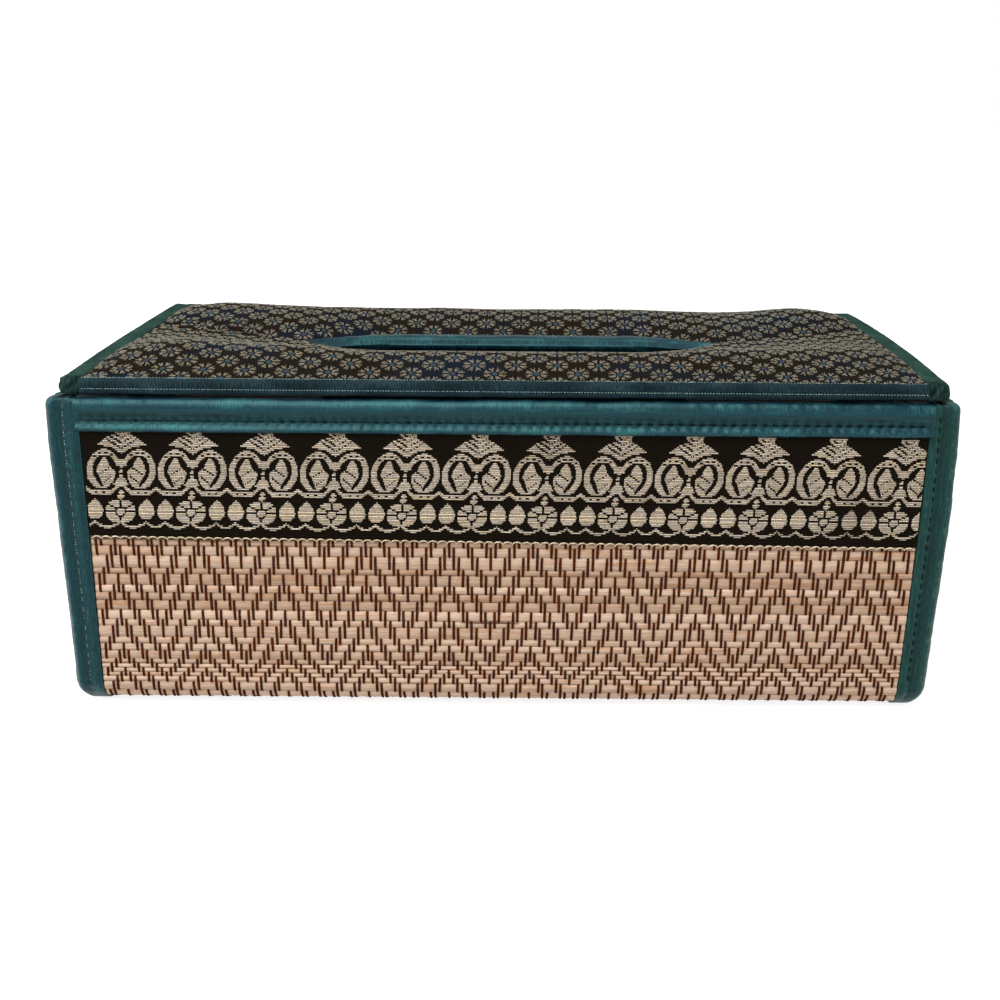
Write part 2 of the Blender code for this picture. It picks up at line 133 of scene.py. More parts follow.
# Weave of the reed mat: rows across, columns of binding thread down, and the chevron's repeat
REED_PITCH = 2.35 * MM
COLUMN_PITCH = 1.322 * MM
CHEVRON_COLUMNS = 18
CHEVRON_CENTRE = 8.5 * MM
REED_CREST = 0.35 * MM
REED_DEPTH = 1.0 * MM
PINCH = 0.13 * MM
BINDER_WIDTH = 0.8 * MM
BINDER_THICKNESS = 0.22 * MM
BASE_MAT_SINK = 0.7 * MM
UPPER_ROW_HEIGHTS = (52.1, 50.4, 47.5, 43.7, 41.9, 38.5, 36.2, 33.8, 30.8, 27.8, 25.8)
LOWER_ROW_HEIGHTS = (22.2, 20.2, 18.0, 15.3, 13.8, 12.5, 11.1, 9.8, 8.0, 4.9)

# Weave of the brocade ribbon, with its repeat, its lean and its slope along the front
BROCADE_REPEAT = 19.8 * MM
BROCADE_CENTRE = -6.6 * MM
BROCADE_LEAN_SHARE = 0.093
BROCADE_TILT_SHARE = 0.0076
BROCADE_TOP = 80.7
EGG_OUTLINE = (
    (68.9, 1.8, 6.8), (70.15, 3.1, 6.65), (70.9, 3.5, 6.3),
    (71.5, 3.75, 5.95), (72.4, 4.2, 5.4), (73.0, 4.5, 5.0),
)
TAIL_OUTLINE = ((64.4, 4.8, 5.5), (65.6, 5.3, 6.6), (67.1, 6.0, 7.45), (68.4, 6.7, 7.9), (69.0, 6.8, 8.0))
WEFT_PITCH = 0.5 * MM
WARP_PITCH = 0.3 * MM
WEFT_CELL = 0.33 * MM
WEFT_RISE = 0.17 * MM
BAND_PROUD = 0.55 * MM
EDGING_PITCH = 2.65 * MM
SEED_LINE = 57.2

# Flowers on the lid's cloth, placed along it from the middle of the front edge
FLOWER_REPEAT = 11.6 * MM
FLOWER_ROW = 4.7 * MM
FLOWER_SKEW = 0.035
FLOWER_SKEW_START = 40 * MM
FLOWER_START = (-43.5 * MM, 0.0)
FLOWER_WEFT = 0.352 * MM
FLOWER_RISE = 0.15 * MM

# Sewing: a wide stitch that gathers the satin, and a fine one, as pitch, length and width
WIDE_STITCH = (2.9 * MM, 2.2 * MM, 0.4 * MM)
FINE_STITCH = (0.8 * MM, 0.55 * MM, 0.2 * MM)
GATHER = 0.24 * MM
GATHER_REACH = 1.2 * MM

# Lining cloth, glued inside the boards
LINING_INSET = 4.2 * MM
LINING_THICKNESS = 1.2 * MM
LINING_DEPTH = LINING_INSET + LINING_THICKNESS

# The handmade case leans to the left at its foot, more so on the right, and its corner ribbons are puffed
LEAN = 1.5 * MM
LEAN_SPREAD = 0.45
LEAN_CURVE = 1.45
LEFT_PUFF = ((0, 0), (25, 0.2), (55, 0.9), (82, 1.5), (93, 1.1))
RIGHT_PUFF = ((0, 0), (25, 0.05), (62, 0.9), (78, 0.7), (93, 0.1))
FOOT_ROUNDING = 6 * MM

# The padded lid's own shape: its ends bow outwards and its left rear corner lifts
END_BOW = 1.6 * MM
END_RISE = 0.8 * MM
CORNER_BOW = 2.0 * MM
CORNER_RISE = 1.8 * MM
CORNER_SPLAY = 1.2 * MM

# Satins, as dark, middle and light tone, roughness, shine and the tint of their shine; the light tone gives
# the painted sheen streaks
SATINS = (
    ("teal", ((3, 16, 28), (9, 38, 50), (40, 88, 88)), 0.34, 0.34, (0.4, 1, 1)),
    ("green", ((6, 28, 30), (20, 58, 54), (56, 102, 92)), 0.38, 0.24, (0.5, 1, 0.95)),
    ("lid_green", ((34, 54, 50), (48, 73, 66), (66, 94, 84)), 0.45, 0.0, (0.6, 1, 0.8)),
    ("slate", ((10, 22, 26), (24, 40, 46), (42, 62, 68)), 0.55, 0.06, (0.7, 1, 1)),
)

# The camera, fitted to the case's corners in the photograph, the floor, and lamps as place, size and power
CAMERA_LENS = 46.21
CAMERA_SHIFT = -0.0431
CAMERA_PITCH = math.radians(17.45)
CAMERA_ROLL = math.radians(0.46)
CAMERA_PLACE = (10.8 * MM, -406.6 * MM, 173.2 * MM)
FLOOR_REACH = 6.0
FLOOR_COLOUR = (0.6, 0.6, 0.6)
FLOOR_GLOW = 0.82
SKY_LIGHT = 0.3
LAMP_TARGET = Vector((0, 0, 60 * MM))
LAMPS = (
    ("key_lamp", (-0.25, -0.55, 1.15), 0.5, 12),
    ("front_lamp", (0.3, -1.2, 0.55), 0.5, 2.5),
    ("left_lamp", (-1.0, -0.45, 0.45), 0.4, 4.5),
)

SIX_WAYS = np.arange(6) * TURN / 6
NOISE_CELLS = 97
LUMPS_PER_SHADE = 37.0
SMOOTH_ANGLE = math.radians(42)


def colour(red, green, blue):
    """A screen colour, 0 to 255, as the linear colour that shaders take."""
    shares = [channel / 255 for channel in (red, green, blue)]
    return tuple(s / 12.92 if s <= 0.04045 else ((s + 0.055) / 1.055) ** 2.4 for s in shares)


def noise(u, v, sizes, seed):
    """Smooth noise from -1 to 1, whose lumps have the given sizes along and across."""
    lattice = np.random.default_rng(seed).uniform(-1, 1, (NOISE_CELLS, NOISE_CELLS))
    u, v = np.broadcast_arrays(u, v)
    a = u / sizes[0] + NOISE_CELLS * 8.5
    b = v / sizes[1] + NOISE_CELLS * 8.5
    i = np.floor(a).astype(int)
    j = np.floor(b).astype(int)
    a = a - i
    b = b - j
    a = a * a * (3 - 2 * a)
    b = b * b * (3 - 2 * b)
    near_u, far_u = i % NOISE_CELLS, (i + 1) % NOISE_CELLS
    near_v, far_v = j % NOISE_CELLS, (j + 1) % NOISE_CELLS
    low = lattice[near_u, near_v] * (1 - a) + lattice[far_u, near_v] * a
    high = lattice[near_u, far_v] * (1 - a) + lattice[far_u, far_v] * a
    return low * (1 - b) + high * b


def bell(distance, width):
    """A smooth hump of height 1, which has died away at two widths."""
    return np.exp(-((distance / width) ** 2))


def part(v, low, high):
    """How far a place is on its way from low to high: 0 before it and 1 past it."""
    return np.clip((v - low) / (high - low), 0, 1)


def roll(v, low, high):
    """A rounded rise between two lines: 1 in the middle and 0 at them and beyond."""
    share = part(v, low, high)
    return np.sqrt(4 * share * (1 - share))


def through(v, stops):
    """A smooth line through (place, height) stops, level at each of them."""
    places, heights = np.array(sorted(stops)).T
    stop = np.clip(np.searchsorted(places, v) - 1, 0, len(places) - 2)
    share = part(v, places[stop], places[stop + 1])
    share = share * share * (3 - 2 * share)
    return heights[stop] * (1 - share) + heights[stop + 1] * share


def rises(start, *stops):
    """Stops for such a line, from places and heights in millimetres after a start."""
    return [(start + place * MM, height * MM) for place, height in stops]


def unit(vectors):
    """The vectors at length 1; one of no length stays."""
    lengths = np.linalg.norm(vectors, axis=-1, keepdims=True)
    return vectors / np.where(lengths > 0, lengths, 1)


def stack(*channels):
    """Channels side by side, as points or lays."""
    return np.stack(np.broadcast_arrays(*channels), axis=-1)


class Trace:
    """A bent line through stops of like channels, looked up by its length; the first two are its places."""

    def __init__(self, stops, start=0.0, places=None):
        self.stops = np.array(stops, float)
        places = self.stops[:, :2] if places is None else places
        gaps = np.linalg.norm(np.diff(places, axis=0), axis=1)
        self.lengths = np.concatenate(([0], np.cumsum(gaps)))
        self.slide(start)

    def slide(self, length):
        """Counts the line's lengths from another start."""
        self.lengths = self.lengths + length
        self.low, self.high = self.lengths[[0, -1]]

    def __call__(self, length):
        return [np.interp(length, self.lengths, channel) for channel in self.stops.T]


def arc(centre, radius, start, end, chords=12):
    """Points of an arc, between angles in degrees."""
    angles = np.radians(np.linspace(start, end, chords + 1))
    return [(centre[0] + radius * math.cos(a), centre[1] + radius * math.sin(a)) for a in angles]


def lean(points):
    """The case's own slight slump: its foot has moved to the left, and further on the right-hand side."""
    x, y, z = np.moveaxis(points, -1, 0)
    drop = np.clip(1 - z / RIM_HEIGHT, 0, 1)
    side = LEAN_SPREAD * x / HALF_LENGTH
    moved = x - LEAN * (1 + side) * drop ** (LEAN_CURVE + side)
    return stack(moved, y, z)


def slump(points):
    """The lid's own shape: the pull of its cover bows the ends and lifts the left rear corner."""
    x, y, z = np.moveaxis(points, -1, 0)
    middle = np.clip(1 - (y / HALF_DEPTH) ** 2, 0, 1)
    corner = np.clip((y / HALF_DEPTH + 1) / 2, 0, 1.1) ** 2.5 * (x < 0)
    near_end = np.clip(np.abs(x) / LID_HALF, 0, 1.05) ** 4
    bow = near_end * (END_BOW * middle**0.6 + CORNER_BOW * corner)
    rise = near_end * (END_RISE * middle + CORNER_RISE * corner)
    above = part(z, LID_BASE, LID_TOP)
    splay = CORNER_SPLAY * bell(y + HALF_DEPTH, 7 * MM) * near_end**4 * (1 - 0.6 * above)
    return stack(x + np.sign(x) * (bow * above + splay), y, z + rise * above)


def foot_rounding(z):
    """How far the case is rounded inwards at a height near its foot."""
    return FOOT_ROUNDING / 2 * np.clip(1 - z / FOOT_ROUNDING, 0, 1) ** 2


class Surface:
    """Where a piece of cloth lies: at(u, v) gives its points, and raised() lifts them off it."""

    def __init__(self, at):
        self.at = at

    def raised(self, u, v, lift):
        """Points that stand off the surface by lift, along its outward side."""
        step = 0.02 * MM
        u, v, lift = np.broadcast_arrays(u, v, lift)
        base = self.at(u, v)
        along = self.at(u + step, v) - self.at(u - step, v)
        across = self.at(u, v + step) - self.at(u, v - step)
        return base + unit(np.cross(along, across)) * lift[..., None]


FRONT = Surface(lambda u, v: lean(stack(u, -HALF_DEPTH, v)))
BACK = Surface(lambda u, v: lean(stack(-u, HALF_DEPTH, v)))
LEFT = Surface(lambda u, v: lean(stack(-HALF_LENGTH, -u, v)))
RIGHT = Surface(lambda u, v: lean(stack(HALF_LENGTH, u, v)))


def loft(rings, loop):
    """Points and faces of closed bodies. rings is (bodies, stations, corners, 3); a loop has no ends."""
    count, stations, corners = rings.shape[:3]
    index = np.arange(stations * corners).reshape(stations, corners)
    here = index if loop else index[:-1]
    there = np.roll(index, -1, axis=0) if loop else index[1:]
    sides = np.stack([here, np.roll(here, -1, 1), np.roll(there, -1, 1), there], axis=-1)
    patterns = [sides.reshape(-1, 4)]
    if not loop and corners == 3:
        patterns += [index[:1, ::-1], index[-1:]]
    elif not loop:
        low = np.arange(corners // 2 - 1)
        strip = np.stack([low, low + 1, corners - 2 - low, corners - 1 - low], axis=-1)
        patterns += [index[0][strip[:, ::-1]], index[-1][strip]]
    first = np.arange(count)[:, None, None] * stations * corners
    faces = [(pattern[None] + first).reshape(-1, pattern.shape[1]) for pattern in patterns]
    return rings.reshape(-1, 3), faces


def volume(points, faces):
    """Six times the volume that the faces enclose, below zero where they face inwards."""
    total = 0.0
    for group in faces:
        for k in range(1, group.shape[1] - 1):
            a, b, c = points[group[:, 0]], points[group[:, k]], points[group[:, k + 1]]
            total += np.einsum("ij,ij->", a, np.cross(b, c))
    return total


class Shape:
    """Closed bodies gathered into one mesh; each point keeps its lay, its (u, v, shade) in the cloth."""

    def __init__(self):
        self.points = []
        self.lays = []
        self.faces = []
        self.count = 0

    def add(self, rings, lays, loop=False):
        """Adds closed bodies, turned outwards, and their lays; both are (bodies, stations, corners, 3)."""
        points, faces = loft(rings, loop)
        if volume(points, faces) < 0:
            faces = [group[:, ::-1] for group in faces]
        self.points.append(points)
        self.lays.append(lays.reshape(-1, 3))
        self.faces += [group + self.count for group in faces]
        self.count += len(points)

    def lay_on(self, surface, u, v, lift, shade):
        """Adds bodies whose corners lie at places on a surface, lifted off it."""
        self.add(surface.raised(u, v, lift), stack(u, v, shade))

    def add_ring(self, ring):
        """Adds one closed ring that lies flat, so its lay is its place in plan."""
        self.add(ring[None], (ring * (1, 1, 0))[None], loop=True)

    def mesh(self, name):
        """All bodies as one mesh that carries the lays."""
        mesh = bpy.data.meshes.new(name)
        points = np.concatenate(self.points).astype(np.float32)
        corners = np.concatenate([group.ravel() for group in self.faces])
        sizes = np.concatenate([np.full(len(group), group.shape[1]) for group in self.faces])
        mesh.vertices.add(len(points))
        mesh.vertices.foreach_set("co", points.ravel())
        mesh.loops.add(len(corners))
        mesh.loops.foreach_set("vertex_index", corners.astype(np.int32))
        mesh.polygons.add(len(sizes))
        starts = np.concatenate(([0], np.cumsum(sizes)[:-1]))
        mesh.polygons.foreach_set("loop_start", starts.astype(np.int32))
        mesh.update(calc_edges=True)
        mesh.validate()
        lay = mesh.attributes.new("lay", "FLOAT_VECTOR", "POINT")
        lay.data.foreach_set("vector", np.concatenate(self.lays).astype(np.float32).ravel())
        mesh.shade_smooth()
        mesh.set_sharp_from_angle(angle=SMOOTH_ANGLE)
        return mesh

    def piece(self, name, material, slot, body, nodes=()):
        """The finished piece."""
        mesh = self.mesh(name)
        mesh.materials.append(material)
        piece = bpy.data.objects.new(name, mesh)
        bpy.context.scene.collection.objects.link(piece)
        if body:
            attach(piece, body)
        if nodes:
            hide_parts(*nodes)
        return piece


def unshaded(u, v):
    """The shade of a cloth that has none, for each place."""
    return 0 * u


def both_sides(face, back):
    """Rings round a sheet, from grids of its face and of its back."""
    return np.concatenate([face, back[:, ::-1]], axis=1)[None]


def cloth(surface, u, v, lift, thickness, loop=False, shade=unshaded):
    """A closed sheet over a grid of places: lift(u, v) raises its face; its back lies under the surface."""
    u, v = np.meshgrid(u, v, indexing="ij")
    face = surface.raised(u, v, lift(u, v))
    back = surface.raised(u, v, -thickness)
    lay = stack(u, v, shade(u, v))
    shape = Shape()
    shape.add(both_sides(face, back), both_sides(lay, lay), loop)
    return shape


def bowed(shares):
    """Half the width of a spindle, at shares from -1 to 1 of its half length."""
    return np.sqrt(1.02 - shares**2)


def steps(low, high, size):
    """Even steps from low to high, of about the given size."""
    return np.linspace(low, high, max(int(round((high - low) / size)), 1) + 1)


def add_stitches(shape, surface, v, low, high, stitch, lift, seed):
    """A row of short stitches along u, sunk in the cloth at both ends."""
    pitch, length, width = stitch
    middles = steps(low + pitch, high - pitch, pitch)[:, None, None]
    random = np.random.default_rng(seed)
    middles = middles + random.uniform(-0.12, 0.12, middles.shape) * pitch
    slant = random.uniform(-0.4, 0.4, middles.shape) * width
    shares = np.linspace(-1, 1, 7)[:, None]
    bow = bowed(shares)
    radius = width / 2 * (0.35 + 0.65 * bow)
    u = middles + shares * length / 2
    across = v + radius * np.cos(SIX_WAYS) + slant * shares
    height = lift + (bow - 1) * width + radius * np.sin(SIX_WAYS)
    shape.lay_on(surface, u, across, height, random.uniform(0, 1, middles.shape))


def weft_runs(mask, cells, slack, random):
    """Row, first cell, start and end of each unbroken run of cells; its ends are off by chance."""
    change = np.diff(np.pad(mask, ((0, 0), (1, 1))).astype(int), axis=1)
    rows, first = np.nonzero(change == 1)
    _, end = np.nonzero(change == -1)
    off = random.uniform(-slack, slack, (2, len(rows))) * MM
    return rows, first, cells[first] + off[0], cells[end - 1] + WEFT_CELL + off[1]


def add_weft(shape, surface, start, end, v, rise, width, shade, base):
    """Short raised threads: each is a ridge from its start to its end on its row."""
    tip = np.minimum(width * 0.5, (end - start) * 0.3)
    u = np.stack([start, start + tip, start, end, end - tip, end], axis=-1).reshape(-1, 2, 3)
    across = v[:, None, None] + np.array([-0.5, 0, 0.5]) * width
    lift = base + np.array([-0.25, 1, -0.25]) * rise
    shape.lay_on(surface, u, across, lift, shade[:, None, None])


class Nodes:
    """A node tree whose nodes are made, set and linked in one call."""

    def __init__(self, tree):
        self.tree = tree

    def feed(self, node, inputs):
        """Links or sets a node's inputs, given by name or place."""
        for socket, value in inputs.items():
            if isinstance(value, bpy.types.NodeSocket):
                self.tree.links.new(value, node.inputs[socket])
            else:
                node.inputs[socket].default_value = value

    def node(self, kind, inputs, **settings):
        """A new node with its inputs and settings."""
        node = self.tree.nodes.new(kind)
        for name, value in settings.items():
            setattr(node, name, value)
        self.feed(node, inputs)
        return node

    def maths(self, operation, first, second):
        """The outcome of a sum of two sockets or numbers."""
        return self.node("ShaderNodeMath", {0: first, 1: second}, operation=operation).outputs[0]

    def seen_directly(self):
        """1 for rays from the camera, a mirror or through glass, 0 for the light that falls on things."""
        rays = self.node("ShaderNodeLightPath", {}).outputs
        mirrored = self.maths("MAXIMUM", rays["Is Camera Ray"], rays["Is Glossy Ray"])
        return self.maths("MAXIMUM", mirrored, rays["Is Transmission Ray"])


class Paint(Nodes):
    """A material whose nodes read a piece's lay, so a pattern follows its cloth."""

    def __init__(self, name, roughness, shine=0.5, tint=(1, 1, 1)):
        self.material = bpy.data.materials.new(name)
        self.material.use_nodes = True
        super().__init__(self.material.node_tree)
        self.shader = self.tree.nodes["Principled BSDF"]
        fixed = {"Roughness": roughness, "Specular IOR Level": shine, "Specular Tint": (*tint, 1)}
        self.feed(self.shader, fixed)
        self.lay = self.node("ShaderNodeAttribute", {}, attribute_name="lay").outputs["Vector"]
        self.u, self.v, self.shade = self.node("ShaderNodeSeparateXYZ", {0: self.lay}).outputs

    def noise(self, along, across, detail=2.0, shift=0.0):
        """Noise from 0 to 1 with lumps of the given sizes; each shade has its own."""
        scale = {0: self.lay, 1: (1 / along, 1 / across, LUMPS_PER_SHADE)}
        scaled = self.node("ShaderNodeVectorMath", scale, operation="MULTIPLY").outputs[0]
        moved = self.node("ShaderNodeVectorMath", {0: scaled, 1: (shift, shift, shift)}).outputs[0]
        inputs = {"Vector": moved, "Scale": 1.0, "Detail": detail}
        return self.node("ShaderNodeTexNoise", inputs).outputs[0]

    def wave(self, place, pitch):
        """A wave from 0 to 1 along a place in the cloth."""
        turned = self.maths("SINE", self.maths("MULTIPLY", place, TURN / pitch), 0.0)
        return self.maths("ADD", self.maths("MULTIPLY", turned, 0.5), 0.5)

    def weave(self, warp_share):
        """Height of a weave from 0 to 1: ribs of weft, with the warp across them."""
        warp = self.maths("MULTIPLY", self.wave(self.u, WARP_PITCH), warp_share)
        warp = self.maths("ADD", warp, 1 - warp_share)
        return self.maths("MULTIPLY", self.wave(self.v, WEFT_PITCH), warp)

    def ramp(self, factor, *stops):
        """A colour for each factor; a stop is (position, colour)."""
        node = self.node("ShaderNodeValToRGB", {0: factor})
        elements = node.color_ramp.elements
        while len(elements) < len(stops):
            elements.new(0.5)
        for element, (position, shade) in zip(elements, stops):
            element.position = position
            element.color = (*shade, 1)
        return node.outputs[0]

    def tones(self, factor, *stops):
        """A ramp of screen colours."""
        return self.ramp(factor, *((position, colour(*tone)) for position, tone in stops))

    def mix(self, factor, first, second, blend="MULTIPLY"):
        """One colour laid over another, by its factor."""
        inputs = {0: factor, 6: first, 7: second}
        return self.node("ShaderNodeMix", inputs, data_type="RGBA", blend_type=blend).outputs[2]

    def finish(self, base, height, depth, strength):
        """Sets the colour, and the fine relief as a height from 0 to 1."""
        bump = self.node("ShaderNodeBump", {"Height": height, "Distance": depth, "Strength": strength})
        self.feed(self.shader, {"Base Color": base, "Normal": bump.outputs[0]})
        return self.material


def satin(name, tones, roughness, shine, tint):
    """Shiny woven ribbon: a fine twill, slubs across it that break up the shine, a drift of colour, light
    streaks of painted sheen, and painted shade where the lay's shade is high.
    """
    paint = Paint(name, roughness, shine, tint)
    drift = paint.noise(14 * MM, 6 * MM, 3.0)
    slubs_and_sheen = paint.noise(0.35 * MM, 1.6 * MM, 3.0, 5.0)
    blended = paint.maths("ADD", paint.maths("MULTIPLY", drift, 0.45), paint.maths("MULTIPLY", slubs_and_sheen, 0.55))
    # The tone follows drift and slubs: its light streaks across the ribbon are partly the yarn's own and
    # partly painted sheen.
    tone = paint.tones(blended, *zip((0.36, 0.5, 0.64), tones))
    # Painted shade: a high shade in the lay darkens the satin wherever a piece's seams, rolls and folds ask
    # for it.
    shadow = paint.ramp(paint.shade, (0, (1, 1, 1)), (1, (0.2, 0.2, 0.23)))
    diagonal = paint.wave(paint.maths("ADD", paint.u, paint.v), 0.42 * MM)
    height = paint.maths("ADD", paint.maths("MULTIPLY", diagonal, 0.3), slubs_and_sheen)
    spread = paint.node("ShaderNodeMapRange", {0: slubs_and_sheen, 3: roughness - 0.08, 4: roughness + 0.12})
    paint.feed(paint.shader, {"Roughness": spread.outputs[0]})
    return paint.finish(paint.mix(1.0, tone, shadow), height, 0.09 * MM, 0.6)


def make_materials():
    """All materials by their short names."""
    made = {key: satin(f"{key}_satin", *looks) for key, *looks in SATINS}

    reed = Paint("split_reed", 0.6, 0.25)
    fibres = reed.noise(9 * MM, 0.14 * MM, 3.0)
    patches = reed.noise(16 * MM, 1.6 * MM, 2.0, 3.0)
    pale = reed.tones(fibres, (0.3, (176, 146, 124)), (0.5, (208, 180, 158)), (0.7, (226, 202, 182)))
    tone = reed.ramp(reed.shade, (0, (0.7, 0.62, 0.54)), (0.35, (0.88, 0.84, 0.8)), (1, (1.06, 1.04, 1.02)))
    spots = reed.ramp(patches, (0.3, (0.82, 0.66, 0.5)), (0.46, (1, 1, 1)), (0.7, (0.97, 0.98, 0.94)))
    base = reed.mix(0.8, reed.mix(1.0, pale, tone), spots)
    made["reed"] = reed.finish(base, fibres, 0.12 * MM, 0.6)

    binder = Paint("binding_thread", 0.9, 0.05)
    twist = binder.wave(binder.maths("ADD", binder.v, binder.u), 0.5 * MM)
    fuzz = binder.noise(0.4 * MM, 1.5 * MM, 3.0)
    base = binder.tones(fuzz, (0.3, (48, 18, 4)), (0.55, (76, 32, 10)), (0.8, (104, 52, 24)))
    made["binder"] = binder.finish(base, twist, 0.08 * MM, 0.4)

    ground = Paint("brocade_ground", 0.95, 0.03)
    height = ground.weave(0.4)
    # The colour follows the weave's height: the grooves between the ribs are painted darker, as painted
    # shade.
    base = ground.tones(height, (0.1, (10, 7, 4)), (0.8, (32, 26, 18)))
    made["brocade"] = ground.finish(base, height, 0.1 * MM, 0.6)

    silver = Paint("silver_thread", 0.5, 0.4)
    glint = silver.noise(0.35 * MM, 0.35 * MM)
    gold = silver.noise(70 * MM, 9 * MM, 1.0, 2.0)
    pale = silver.tones(glint, (0.3, (150, 136, 120)), (0.55, (214, 198, 178)), (0.8, (250, 238, 220)))
    warm = silver.tones(glint, (0.3, (150, 130, 96)), (0.55, (216, 196, 154)), (0.8, (250, 234, 190)))
    tint = silver.ramp(gold, (0.5, (0, 0, 0)), (0.75, (1, 1, 1)))
    bright = (1, (1.3, 1.28, 1.15))
    tone = silver.ramp(silver.shade, (0, (0.6, 0.6, 0.6)), (0.85, (1.04, 1.04, 1.04)), bright)
    base = silver.mix(1.0, silver.mix(tint, pale, warm, "MIX"), tone)
    made["silver"] = silver.finish(base, silver.wave(silver.u, WARP_PITCH), 0.05 * MM, 0.4)

    field = Paint("flowered_cloth", 0.95, 0.03)
    height = field.weave(0.5)
    blue = field.noise(32 * MM, 14 * MM, 2.0, 1.0)
    # Both tones follow the weave's height: the grooves between the ribs are painted darker, as painted
    # shade.
    brown = field.tones(height, (0.1, (16, 13, 9)), (0.8, (40, 34, 26)))
    navy = field.tones(height, (0.1, (12, 18, 26)), (0.8, (30, 40, 54)))
    share = field.ramp(blue, (0.48, (0, 0, 0)), (0.66, (1, 1, 1)))
    made["field"] = field.finish(field.mix(share, brown, navy, "MIX"), height, 0.1 * MM, 0.5)

    petal = Paint("cream_thread", 0.7, 0.15)
    glint = petal.noise(0.4 * MM, 0.4 * MM)
    hue = petal.noise(9 * MM, 0.9 * MM, 1.0, 4.0)
    cream = petal.tones(glint, (0.3, (74, 70, 59)), (0.55, (122, 117, 103)), (0.8, (166, 160, 143)))
    warm = petal.ramp(hue, (0.56, (1, 1, 1)), (0.68, (1.05, 0.9, 0.62)), (0.8, (1.0, 0.74, 0.5)))
    base = petal.mix(1.0, cream, warm)
    made["petal"] = petal.finish(base, petal.wave(petal.u, WARP_PITCH), 0.05 * MM, 0.4)

    eye = Paint("blue_thread", 0.7, 0.1)
    hue = eye.noise(20 * MM, 8 * MM, 1.0, 6.0)
    base = eye.tones(hue, (0.35, (50, 58, 76)), (0.5, (52, 68, 80)), (0.65, (54, 82, 84)))
    made["eye"] = eye.finish(base, eye.wave(eye.u, WARP_PITCH), 0.05 * MM, 0.4)

    # The dark thread's colour is partly the stitches' own dark teal and partly painted shade of the seam
    # groove it lies in.
    for name, dark, light in (
        ("deep_thread", (3, 16, 20), (9, 34, 38)),
        ("fine_thread", (96, 138, 136), (170, 200, 192)),
    ):
        sewing = Paint(name, 0.7, 0.1)
        base = sewing.tones(sewing.noise(0.4 * MM, 0.4 * MM), (0.3, dark), (0.7, light))
        made[name] = sewing.finish(base, sewing.wave(sewing.u, 0.35 * MM), 0.05 * MM, 0.5)

    lining = Paint("lining_cloth", 0.95, 0.1)
    height = lining.maths("MULTIPLY", lining.wave(lining.u, 0.5 * MM), lining.wave(lining.v, 0.5 * MM))
    base = lining.tones(lining.noise(1.5 * MM, 1.5 * MM, 3.0), (0.3, (20, 24, 30)), (0.7, (42, 46, 54)))
    made["lining"] = lining.finish(base, height, 0.15 * MM, 0.6)

    tape = Paint("tape_pile", 0.95)
    pile = tape.noise(0.4 * MM, 0.4 * MM, 3.0)
    base = tape.tones(pile, (0.3, (10, 14, 18)), (0.7, (38, 44, 50)))
    made["tape"] = tape.finish(base, pile, 0.3 * MM, 0.8)

    card = Paint("pasteboard", 0.9)
    place = card.node("ShaderNodeTexCoord", {}).outputs["Object"]
    fibres = card.node("ShaderNodeTexNoise", {"Vector": place, "Scale": 900.0}).outputs[0]
    card.feed(card.shader, {"Base Color": card.tones(fibres, (0, (128, 104, 76)), (1, (176, 150, 116)))})
    made["card"] = card.material
    return made


# Lines that the ribbons follow, as traces of their length

def trough_surface(inset, top):
    """Down the front, under the case and up the back: v is the height on the front and goes on below."""
    radius = BOTTOM_RADIUS - inset
    centre = HALF_DEPTH - BOTTOM_RADIUS
    stops = [(HALF_DEPTH - inset, top)]
    stops += arc((centre, BOTTOM_RADIUS), radius, 0, -90)
    stops += arc((-centre, BOTTOM_RADIUS), radius, 270, 180)
    stops += [(-(HALF_DEPTH - inset), top)]
    trace = Trace(stops)
    trace.slide(top - trace.high)

    def at(u, v):
        y, z = trace(v)
        return lean(stack(u, y, z))

    return Surface(at), trace


def rim_surface(side):
    """Over the rim: v goes up the outside, over the top and down the inside."""
    stops = [(0, RIM_BASE)]
    stops += arc((FOLD, RIM_HEIGHT - FOLD), FOLD, 180, 90)
    stops += arc((WALL - FOLD, RIM_HEIGHT - FOLD), FOLD, 90, 0)
    stops += [(WALL, RIM_BASE)]
    trace = Trace(stops, RIM_BASE)

    def at(u, v):
        depth, z = trace(v)
        if side in ("front", "back"):
            y = HALF_DEPTH - depth
            return stack(u, -y, z) if side == "front" else stack(-u, y, z)
        x = HALF_LENGTH - depth
        return stack(-x, -u, z) if side == "left" else stack(x, u, z)

    return Surface(at), trace


